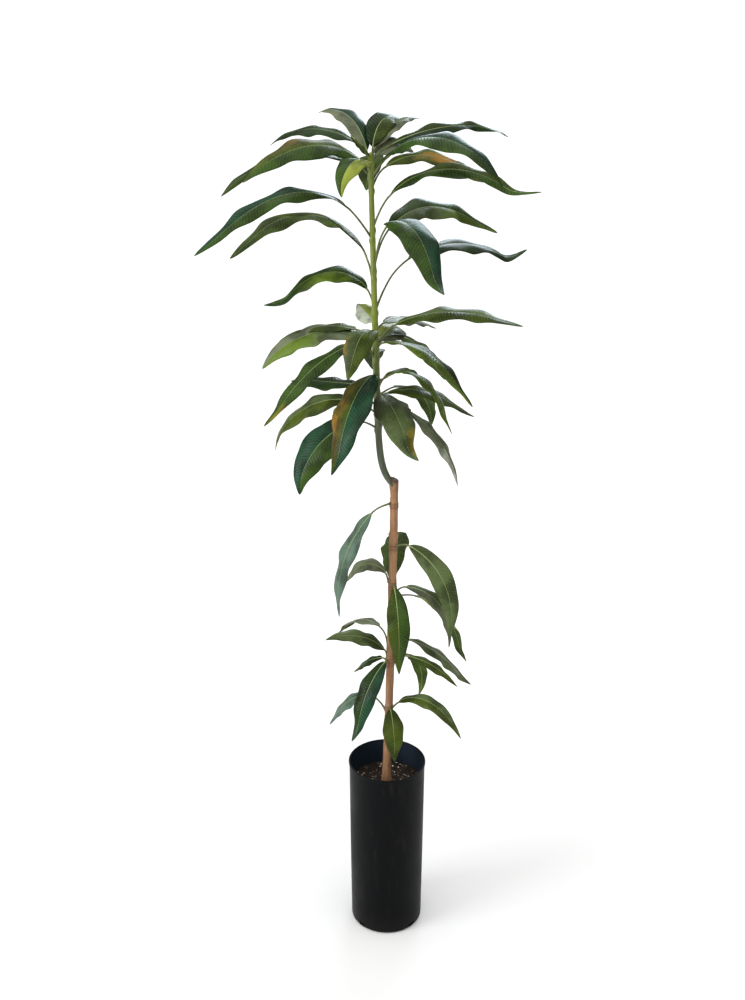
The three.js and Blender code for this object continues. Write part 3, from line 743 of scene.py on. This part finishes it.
def ring_of(centre, reach, sides, across=Vector((1, 0, 0)), along=Vector((0, 1, 0))):
    """A ring of places round a centre. Its reach is a length, or depends on the angle."""
    ring = []
    for k in range(sides):
        a = 2 * math.pi * k / sides
        far = reach(a) if callable(reach) else reach
        ring.append(centre + far * (math.cos(a) * across + math.sin(a) * along))
    return ring


def spun(profile, steps):
    """A closed solid of revolution, spun from a profile of (radius, height) pairs."""
    mesh = bmesh.new()
    verts = [mesh.verts.new((x, 0, z)) for x, z in profile]
    edges = [mesh.edges.new(pair) for pair in zip(verts, verts[1:])]
    bmesh.ops.spin(
        mesh, geom=[*verts, *edges], cent=(0, 0, 0), axis=(0, 0, 1), angle=2 * math.pi,
        steps=steps, use_merge=True,
    )
    bmesh.ops.remove_doubles(mesh, verts=mesh.verts, dist=0.01)
    bmesh.ops.recalc_face_normals(mesh, faces=mesh.faces)
    return mesh


def mesh_data(mesh, name):
    """A bmesh's data, after which the bmesh is freed."""
    data = bpy.data.meshes.new(name)
    mesh.to_mesh(data)
    mesh.free()
    return data


def pour(mesh, total):
    """Adds a bmesh to a larger one, and frees it."""
    data = mesh_data(mesh, "part")
    total.from_mesh(data)
    bpy.data.meshes.remove(data)


def finish_piece(mesh, name, materials, node, sharp=None):
    """Turns a bmesh in millimetres into a piece that rides on the part in place of a node."""
    bmesh.ops.scale(mesh, vec=(MM, MM, MM), verts=mesh.verts)
    for face in mesh.faces:
        face.smooth = True
    if sharp is not None:
        for edge in mesh.edges:
            edge.smooth = len(edge.link_faces) < 2 or edge.calc_face_angle(0) < math.radians(sharp)
    data = mesh_data(mesh, name)
    for material in materials:
        data.materials.append(material)
    piece = bpy.data.objects.new(name, data)
    bpy.context.scene.collection.objects.link(piece)
    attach(piece, "root")
    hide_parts(node)
    return piece


def blade_point(row, path, t, c, thickness):
    """A place on a blade's top skin, and how far across it is, at t along and c across it."""
    half, shape = half_width(row, t)
    half *= 1 + RELIEF["wider"] * shape
    side, up = path.sides(1 + t)
    fold = math.radians(-LEAF["fold"]) * smooth(t / RELIEF["folded"])
    ripple = row["blade"] * LEAF["ripple"] * shape
    wave = 2 * math.pi * LEAF["waves"] * t + row["phase"]
    ahead = 0.0 if c > 0 else RELIEF["ahead"]
    out = abs(c)
    frill = RELIEF["frill"] * math.sin(1.9 * wave + 1.3 * ahead + row["seed"]) * out ** 3
    lift = half * out * math.sin(fold) + ripple * (math.sin(wave + ahead) + frill) * out ** 1.5
    arch = RELIEF["arch"] * half * 4 * out * (1 - out)
    uneven = 1 + RELIEF["uneven"] * math.sin(0.9 * wave + 2 * ahead + row["seed"]) * out
    across = math.copysign(half * out * math.cos(fold) * uneven, c)
    return path.place(1 + t) + across * side + (lift + arch + thickness / 2) * up, across


def tone_of(row, t, c, half):
    """The tones of a blade's face, at t along it and c across it, and its step between them."""
    name = "left" if c > 0 else "right"
    tone, step = row[name], 0
    # A patch fades out along the side veins.
    along = t - 0.5 * abs(c) * half / row["blade"]
    ragged = PATCH_EDGE["ragged"] * noise.noise(Vector((9 * t, 2.2 * c, row["seed"])))
    for side, start, end, out, patch in row["patches"]:
        if side != name:
            continue
        far = abs(c) - out if out > 0 else -out - abs(c)
        inside = 1
        for bound, past, edge in (
            (start > 0, along - start, "along"),
            (end < 1, end - along, "along"),
            (out, far, "across"),
        ):
            if bound:
                inside *= smooth(past / PATCH_EDGE[edge] + 0.5 + ragged)
        found = round(TONE_STEPS * inside)
        if found > 0 and found >= step:
            tone, step = patch, found
    if step == TONE_STEPS:
        return tone, tone, 0
    return row[name], tone, step


def add_blade(total, row, path, strip, strips, tones, thickness):
    """Adds a leaf's blade, its top skin in its tones and its underside below, to a mass."""
    mesh = bmesh.new()
    along = mesh.verts.layers.float.new("along")
    across = mesh.verts.layers.float.new("across")
    out = mesh.verts.layers.float.new("out")
    flat = mesh.loops.layers.uv.new("Leaf")
    baked = mesh.loops.layers.uv.new("OFBake")
    long, wide = BLADE_CELLS
    sheet = bmesh.ops.create_grid(mesh, x_segments=long, y_segments=wide, size=1)["verts"]
    for vert in sheet:
        t, c = (vert.co.x + 1) / 2, vert.co.y
        vert[along], vert[out] = t, c
        vert.co, vert[across] = blade_point(row, path, t, c, thickness)
    for face in mesh.faces:
        t = sum(v[along] for v in face.verts) / len(face.verts)
        c = sum(v[out] for v in face.verts) / len(face.verts)
        tone = tone_of(row, t, c, half_width(row, t)[0])
        if tone not in tones:
            tones.append(tone)
        face.material_index = tones.index(tone) + 1
    tops = list(mesh.faces)
    grown = bmesh.ops.extrude_face_region(mesh, geom=tops, use_keep_orig=True)["geom"]
    lower = set(verts_in(grown))
    for vert in lower:
        vert.co -= thickness * path.sides(1 + vert[along])[1]
    for face in mesh.faces:
        under = sum(vert in lower for vert in face.verts)
        whole = under == len(face.verts)
        if whole:
            face.material_index = 0
        for loop in face.loops:
            vert = loop.vert
            loop[flat].uv = (vert[along] * row["blade"] / 100, vert[across] / 100)
            # The rim's lower edge lies just past the skin's in the bake's map.
            past = 1.1 if under and not whole and vert in lower else 1.0
            low = 0.5 + (0.5 - SIDE_MARGIN) * 0.9 * vert[out] * past
            high = (strip * 2 + whole + low) / (2 * strips)
            loop[baked].uv = (0.01 + 0.98 * vert[along], high)
    bmesh.ops.recalc_face_normals(mesh, faces=mesh.faces)
    pour(mesh, total)


def stalk_radius(s):
    """Radius of a petiole, and of the midrib that it becomes."""
    if s < 1:
        root, neck = 1.2 * math.exp(-s / 0.1), 0.3 * bell((s - 1) / 0.12)
        return 1.45 + 0.35 * (1 - s) + root + neck
    return 0.3 + 0.75 * (2 - s) ** 0.85 + 0.7 * math.exp(-(s - 1) / 0.08)


def add_stalk(total, path):
    """Adds a leaf's petiole, and the midrib that runs on from it under the blade."""
    mesh = bmesh.new()
    petiole, midrib, end, sides = STALK_MESH.values()
    stations = [k / petiole for k in range(petiole)]
    stations += [1 + end * k / midrib for k in range(midrib + 1)]
    rings = []
    for s in stations:
        side, up = path.sides(s)
        radius = stalk_radius(s)
        sunk = 0.36 * radius * smooth((s - 0.93) / 0.1)
        rings.append(ring_of(path.place(s) - sunk * up, radius, sides, side, up))
    order = {vert: i // sides for i, vert in enumerate(loft(mesh, rings))}
    for face in mesh.faces:
        last = max(order[vert] for vert in face.verts)
        face.material_index = int(stations[last] > 1.0)
    pour(mesh, total)


def facing(angle, heading):
    """How much an angle faces a heading, from 0 to 1."""
    return max(0.0, math.cos(angle - math.radians(heading)))


def round_noise(angle, z, wide, tall, shift=0):
    """Noise round a stem, with the fineness of its lumps round it and along it."""
    place = (wide * math.cos(angle), wide * math.sin(angle), z * tall + shift)
    return noise.noise(Vector(place))


def ring_hump(z, at, height):
    """A hump of height 1 over a ring of the trunk."""
    u = min(1.0, abs(z - at) / (height / 2))
    return 1 - u * u


def scar_swell(z, angle, rows, size, height):
    """How far the leaf scars of some rows stand proud at a height and an angle."""
    most = 0.0
    for row in rows:
        near = bell((z - row["at"]) / height)
        most = max(most, near * (0.25 + 0.75 * facing(angle, row["to"]) ** 2))
    return size * most


def grow_trunk(look):
    """The trunk's tube with its relief, leaf scars and slanting cut."""
    mesh = bmesh.new()
    depth = look.relief / MM
    rings = []
    for k in range(TRUNK_MESH["rings"]):
        z = TRUNK["foot"] + TRUNK_MESH["apart"] * k
        swell = 0.0
        for at, height in RINGS.values():
            wrinkle = 0.5 + 0.5 * math.sin(z * 1.1 + at)
            swell = max(swell, (0.3 + 0.5 * wrinkle) * RING_PROUD * ring_hump(z, at, height))

        def reach(a, z=z, swell=swell):
            """How far the bark is from the trunk's axis at an angle."""
            knob = 0.0
            for at, turn, proud, height in KNOBS:
                knob = max(knob, proud * bell((z - at) / height) * facing(a, turn) ** 3)
            grain = 1.2 * round_noise(a, z, 4, 0.045) + 1.6 * round_noise(a, z, 1.1, 0.02, 7)
            return trunk_radius(z) + max(swell, knob) + depth * grain

        rings.append(ring_of(trunk_at(z), reach, TRUNK_MESH["sides"]))
    loft(mesh, rings)
    scar = mesh.verts.layers.float.new("scar")
    dry = mesh.verts.layers.float.new("dry")
    slope = math.tan(math.radians(CUT["slant"]))
    cut = bmesh.ops.bisect_plane(
        mesh, geom=[*mesh.verts, *mesh.edges, *mesh.faces], clear_outer=True,
        plane_co=(trunk_at(TRUNK["top"]).x, 0, TRUNK["top"] - CUT["low"]),
        plane_no=Vector((slope, 0, 1)).normalized(),
    )["geom_cut"]
    bmesh.ops.holes_fill(mesh, edges=edges_in(cut))
    for vert in mesh.verts:
        z = vert.co.z
        for at, height in RINGS.values():
            wrinkle = 0.4 + 0.6 * math.sin(z * 1.1 + at) ** 2
            vert[scar] = max(vert[scar], ring_hump(z, at, height) * wrinkle)
        vert[dry] = smooth((z - TRUNK["top"] + 15) / 9)
    return mesh


def grow_shoot():
    """The green shoot, with a swelling where each petiole leaves it and a bud on top."""
    mesh = bmesh.new()
    rows = [row for name, rows in LEAVES.items() if name not in RINGS for row in rows]
    rings = []
    for k in range(SHOOT_MESH["rings"]):
        z = SHOOT["foot"] + SHOOT_MESH["apart"] * k

        def reach(a, z=z):
            """How far the skin is from the shoot's axis at an angle."""
            grain = 0.18 * round_noise(a, z, 3, 0.04)
            return shoot_radius(z) + grain + scar_swell(z + 1.5, a, rows, 1.7, 4.2)

        rings.append(ring_of(shoot_at(z), reach, SHOOT_MESH["sides"]))
    for share, up in BUD:
        centre = shoot_at(z) + Vector((0, 0, up))
        rings.append(ring_of(centre, share * shoot_radius(z), SHOOT_MESH["sides"]))
    loft(mesh, rings)
    scar = mesh.verts.layers.float.new("scar")
    for vert in mesh.verts:
        centre = shoot_at(vert.co.z)
        angle = math.atan2(vert.co.y - centre.y, vert.co.x - centre.x)
        vert[scar] = scar_swell(vert.co.z, angle, rows, 1.0, 2.2)
    return mesh


def pot_profile():
    """The pot's outline, from the middle of its underside round its lip to its floor."""
    top, corner, wall, lip = POT["height"], POT["corner"], POT["wall"], LIP["height"]
    sole = POT["foot"] - corner
    profile = [(0, SOLE["hollow"]), (sole - SOLE["from"], SOLE["hollow"]), (sole - SOLE["to"], 0)]
    for i in range(9):
        turn = i / 8 * math.pi / 2
        x = pot_radius(corner) - corner * (1 - math.sin(turn))
        profile.append((x, corner * (1 - math.cos(turn))))
    heights = [lerp(corner, top - lip, i / 24) for i in range(1, 24)]
    profile += [(pot_radius(z), z) for z in heights]
    for out, down in LIP_CURVE:
        profile.append((lerp(pot_radius(top), POT["rim"], out), top - down * lip))
    profile += [(pot_radius(top) - wall + out, top - down) for out, down in INNER_EDGE]
    heights = [lerp(top - INNER_EDGE[-1][1], corner, i / 13) for i in range(1, 14)]
    profile += [(pot_radius(z) - wall, z) for z in heights]
    return [*profile, (pot_radius(0) - corner - 1, POT["floor"]), (0, POT["floor"])]


def cut_notches(context, shell):
    """Cuts the drain holes through the foot of the pot's wall."""
    cutters = bmesh.new()
    low, high = DRAIN["low"], DRAIN["high"]
    for i in range(DRAIN["count"]):
        turn = math.radians(DRAIN["first"] + 360 / DRAIN["count"] * i)
        place = Matrix.Rotation(turn, 4, "Z")
        place @= Matrix.Translation((POT["foot"], 0, (low + high) / 2))
        size = Matrix.Diagonal((20, DRAIN["width"], high - low, 1))
        bmesh.ops.create_cube(cutters, size=1, matrix=place @ size)
    bmesh.ops.bevel(
        cutters, geom=[*cutters.edges], offset=2, segments=4, profile=0.5, affect="EDGES",
        material=-1,
    )
    bmesh.ops.scale(cutters, vec=(MM, MM, MM), verts=cutters.verts)
    tool = bpy.data.objects.new("notches", mesh_data(cutters, "notches"))
    context.scene.collection.objects.link(tool)
    cut = shell.modifiers.new("Notches", "BOOLEAN")
    cut.object, cut.operation, cut.solver = tool, "DIFFERENCE", "EXACT"
    context.view_layer.update()
    seen = shell.evaluated_get(context.evaluated_depsgraph_get())
    notched = bpy.data.meshes.new_from_object(seen)
    shell.modifiers.clear()
    shell.data = notched
    bpy.data.objects.remove(tool)


def mix_height(x, y):
    """Height of the mix's surface."""
    share = math.hypot(x, y) / mix_radius(SOIL["top"])
    wave = SOIL["bump"] * math.sin(0.21 * x + 1) * math.cos(0.17 * y)
    coarse = 1.5 * noise.noise(Vector((x * 0.12, y * 0.12, 3)))
    fine = 0.7 * noise.noise(Vector((x * 0.4, y * 0.4, 9)))
    inward = smooth((1 - share) / 0.12)
    return SOIL["top"] - SOIL["crown"] * share * share + inward * (wave + (coarse + fine))


def mix_body():
    """The mix's body, with its uneven surface."""
    corner, top = POT["corner"], SOIL["top"]
    low, foot, rim = POT["floor"] + CLEAR, mix_radius(corner), mix_radius(top)
    profile = [(0, low), (foot - corner + POT["floor"], low), (foot, corner + CLEAR)]
    for i in range(1, 7):
        profile.append((lerp(foot, rim, i / 6), lerp(corner, top - SOIL["crown"], i / 6)))
    profile += [(rim * (1 - i / 26), top) for i in range(1, 27)]
    mesh = spun(profile, ROUND_STEPS["mix"])
    for vert in mesh.verts:
        if vert.co.z > top - 0.5:
            vert.co.z = mix_height(vert.co.x, vert.co.y)
    return mesh


def scatter(name, count, sizes, flat):
    """Lumps strewn over the mix, clear of the pot and the trunk."""
    pick = random.Random(name)
    noise.seed_set(1)  # or the lumps would differ from run to run
    pile = bmesh.new()
    for _ in range(count):
        reach = (mix_radius(SOIL["top"]) - STREWN["from_rim"]) * math.sqrt(pick.random())
        turn = pick.uniform(0, 2 * math.pi)
        x, y = reach * math.cos(turn), reach * math.sin(turn)
        if math.hypot(x - TRUNK["x"], y) < STREWN["from_trunk"]:
            continue
        radius = lerp(*sizes, pick.random() ** 2.2)
        stretch = (1.0, pick.uniform(0.45, 0.9), pick.uniform(0.5, 1.0) * flat)
        place = (
            Matrix.Translation((x, y, mix_height(x, y) + 0.25 * radius))
            @ Matrix.Rotation(pick.uniform(0, 2 * math.pi), 4, "Z")
            @ Matrix.Rotation(pick.uniform(-0.5, 0.5), 4, "X")
            @ Matrix.Diagonal((*(radius * k for k in stretch), 1))
        )
        lump = bmesh.ops.create_icosphere(pile, subdivisions=1, radius=1, matrix=place)
        for vert in lump["verts"]:
            vert.co += 0.18 * radius * noise.noise_vector(vert.co * 0.9)
    return pile


# ---- Operators -----------------------------------------------------------------


class SAPLING_OT_foliage(bpy.types.Operator):
    """Grows the leaves of every mass of foliage, with their petioles and midribs"""

    bl_idname = "sapling.foliage"
    bl_label = "Grow foliage"

    def execute(self, context):
        """Makes two pieces for each mass."""
        look = context.scene.sapling_leaves
        under = leaf_finish("underside", look.under, look.vein_spacing, under=True)
        stems = [
            stalk_finish("Petiole", look.petiole, 0.5),
            stalk_finish("Midrib", look.rib, 0.45),
        ]
        skins = {}
        for name, rows in LEAVES.items():
            blades, stalks, tones = bmesh.new(), bmesh.new(), []
            for i, row in enumerate(rows):
                path = Midrib(row, rooted(row, name))
                add_blade(blades, row, path, i, len(rows), tones, look.thickness / MM)
                add_stalk(stalks, path)
            for first, second, step in tones:
                if (first, second, step) in skins:
                    continue
                pair = zip(getattr(look, first), getattr(look, second), strict=True)
                colour = tuple(lerp(a, b, step / TONE_STEPS) for a, b in pair)
                tone = f"{first} {second} {step}" if step else first
                skins[first, second, step] = leaf_finish(tone, colour, look.vein_spacing)
            materials = [under, *(skins[tone] for tone in tones)]
            node = f"foliage_{name}"
            finish_piece(blades, f"leaves_{name}", materials, node)
            finish_piece(stalks, f"petioles_{name}", stems, node)
        return {"FINISHED"}


class SAPLING_OT_stems(bpy.types.Operator):
    """Builds the trunk with its bark, and the green shoot"""

    bl_idname = "sapling.stems"
    bl_label = "Build stems"

    def execute(self, context):
        """Makes the trunk and the shoot."""
        look = context.scene.sapling_stems
        bark, green = [bark_finish(look)], [shoot_finish(look)]
        finish_piece(grow_trunk(look), "trunk_bark", bark, "trunk", sharp=50)
        finish_piece(grow_shoot(), "green_shoot", green, "leading_shoot", sharp=50)
        return {"FINISHED"}


class SAPLING_OT_pot(bpy.types.Operator):
    """Moulds the tall nursery pot with its rolled lip and drain holes"""

    bl_idname = "sapling.pot"
    bl_label = "Mould pot"

    def execute(self, context):
        """Spins the shell, makes it a little out of round and cuts its holes."""
        look = context.scene.sapling_pot
        top, wobble = POT["height"], look.wobble / MM
        mesh = spun(pot_profile(), ROUND_STEPS["pot"])
        for vert in mesh.verts:
            x, y, z = vert.co
            out = -wobble * smooth(z / top) ** 2
            out *= 0.5 + 0.5 * math.sin(2 * math.atan2(y, x) + 0.7)
            reach = math.hypot(x, y)
            if reach > 1:
                vert.co.x *= (reach + out) / reach
                vert.co.y *= (reach + out) / reach
        # The inner wall's faces get the lighter, bluer plastic, a painted sky light.
        for face in mesh.faces:
            x, y, z = face.calc_center_median()
            sky_lit_inner = POT["floor"] - 1 < z < top - 1 and math.hypot(x, y) < pot_radius(z) - 1
            face.material_index = int(sky_lit_inner)
        skins = [
            plastic_finish("Pot plastic", look.plastic, look),
            plastic_finish("Pot inside", look.inside, look),
        ]
        cut_notches(context, finish_piece(mesh, "pot_shell", skins, "pot", sharp=38))
        return {"FINISHED"}


class SAPLING_OT_mix(bpy.types.Operator):
    """Fills the pot with potting mix, with crumbs of bark and white grains on top"""

    bl_idname = "sapling.mix"
    bl_label = "Fill with mix"

    def execute(self, context):
        """Makes the mix's body, its crumbs and its grains."""
        look = context.scene.sapling_mix
        node = "potting_mix"
        earth = crumbly_finish("Potting mix", look.earth, 2.6, 0.95)
        finish_piece(mix_body(), "mix_body", [earth], node)
        for name, pile, finish in (
            ("mix_crumbs", (look.crumbs, (0.9, 3.0), 0.55), ("Bark crumbs", look.crumb, 0.4, 0.9)),
            ("mix_grains", (look.grains, (0.7, 2.3), 0.8), ("White grains", look.grain, 0.7, 0.8)),
        ):
            lumps, skin = scatter(name, *pile), crumbly_finish(*finish)
            finish_piece(lumps, name, [skin], node, sharp=40)
        return {"FINISHED"}


def add_lamp(scene, name, kind, energy, place, aim, tint, **soft):
    """Adds a lamp that shines on a point."""
    light = bpy.data.lights.new(name, kind)
    light.energy = energy
    light.color = tint
    for key, value in soft.items():
        setattr(light, key, value)
    lamp = bpy.data.objects.new(name, light)
    lamp.location = place
    way = Vector(aim) - Vector(place)
    lamp.rotation_euler = way.to_track_quat("-Z", "Y").to_euler()
    scene.collection.objects.link(lamp)


def add_sky(scene, strength):
    """Adds a soft sky that is brighter in front, and a white backdrop behind the floor."""
    scene.world = bpy.data.worlds.new("Sky")
    scene.world.use_nodes = True
    n = Nodes(scene.world.node_tree)
    up = n.add("SeparateXYZ", {0: n.add("TexCoord", out="Generated")}, 2)
    rise = n.mask(n.less(up, up.node.outputs[1]), -0.3, 1.3)
    tint = n.mix(rise, (0.40, 0.41, 0.42), (1.25, 1.25, 1.25))
    # The camera sees a white backdrop, which lights nothing.
    seen = n.add("LightPath", out="Is Camera Ray")
    colour = n.mix(seen, tint, (1.0, 1.0, 1.0))
    power = n.add("Mix", {"Factor": seen, 2: strength, 3: 1.0})
    n.feed(n.tree.nodes["Background"], {0: colour, 1: power})


class SAPLING_OT_stage(bpy.types.Operator):
    """Sets up the pale floor, the soft light and the camera"""

    bl_idname = "sapling.stage"
    bl_label = "Set stage"

    def execute(self, context):
        """Makes the stage, which isn't part of the object."""
        scene = context.scene
        look = scene.sapling_stage
        mesh = bmesh.new()
        bmesh.ops.create_grid(mesh, x_segments=1, y_segments=1, size=90)
        data = mesh_data(mesh, "floor")
        # The floor is painted duller round the pot: this evens out the light that falls most
        # there, and is in part a painted shade round the pot's foot.
        n = Finish("Floor", 0.9, 0.1)
        away = n.add("VectorMath", {0: n.place()}, "Value", operation="LENGTH")
        tint = n.mix(n.mask(away, 0.3, 1.3), scaled(look.floor, 0.72), look.floor)
        data.materials.append(n.done(tint))
        floor = bpy.data.objects.new("floor", data)
        scene.collection.objects.link(floor)
        add_sky(scene, look.sky)
        scene.view_settings.view_transform = "Standard"
        soft = {"size": 1.2, "spread": math.radians(80)}
        for name, kind, energy, place, aim, tint, shape in (
            ("sun", "SUN", look.sun, (-0.2, -0.9, 4.4), (0, 0, 0), (1.0, 0.99, 0.97),
             {"angle": 2.1}),
            ("window", "AREA", 14.0, (-2.1, -1.0, 1.5), (0, 0, 0.9), (0.97, 0.98, 1.0), soft),
            ("back_sky", "AREA", 9.0, (0.5, 2.6, 2.2), (0, 0, 1.2), (0.80, 0.92, 1.0), soft),
        ):
            add_lamp(scene, name, kind, energy, place, aim, tint, **shape)
        view = bpy.data.cameras.new("camera")
        view.lens = look.lens
        view.sensor_width = 36
        view.clip_end = 400
        camera = bpy.data.objects.new("camera", view)
        camera.location = look.camera
        camera.rotation_euler = (math.radians(90) - look.tilt, 0, 0)
        scene.collection.objects.link(camera)
        scene.camera = camera
        return {"FINISHED"}


class SAPLING_PT_panel(bpy.types.Panel):
    """Lists the sapling's operators in the sidebar"""

    bl_idname = "SAPLING_PT_panel"
    bl_label = "Mango tree sapling"
    bl_space_type = "VIEW_3D"
    bl_region_type = "UI"
    bl_category = "Sapling"

    def draw(self, context):
        """Draws a button for each operator."""
        for operator in OPERATORS:
            self.layout.operator(operator.bl_idname)


SETTINGS = {
    "sapling_leaves": LeafSettings,
    "sapling_stems": StemSettings,
    "sapling_pot": PotSettings,
    "sapling_mix": MixSettings,
    "sapling_stage": StageSettings,
}
OPERATORS = (
    SAPLING_OT_stage,
    SAPLING_OT_pot,
    SAPLING_OT_mix,
    SAPLING_OT_stems,
    SAPLING_OT_foliage,
)
CLASSES = (*SETTINGS.values(), *OPERATORS, SAPLING_PT_panel)


def register():
    """Registers the classes and their settings."""
    for cls in CLASSES:
        bpy.utils.register_class(cls)
    for name, group in SETTINGS.items():
        setattr(bpy.types.Scene, name, bpy.props.PointerProperty(type=group))


def unregister():
    """Removes the classes and their settings."""
    for name in SETTINGS:
        delattr(bpy.types.Scene, name)
    for cls in reversed(CLASSES):
        bpy.utils.unregister_class(cls)


def main():
    """Makes every piece."""
    register()
    for operator in OPERATORS:
        name = operator.bl_idname.split(".")[1]
        getattr(bpy.ops.sapling, name)()


if __name__ == "__main__":
    main()
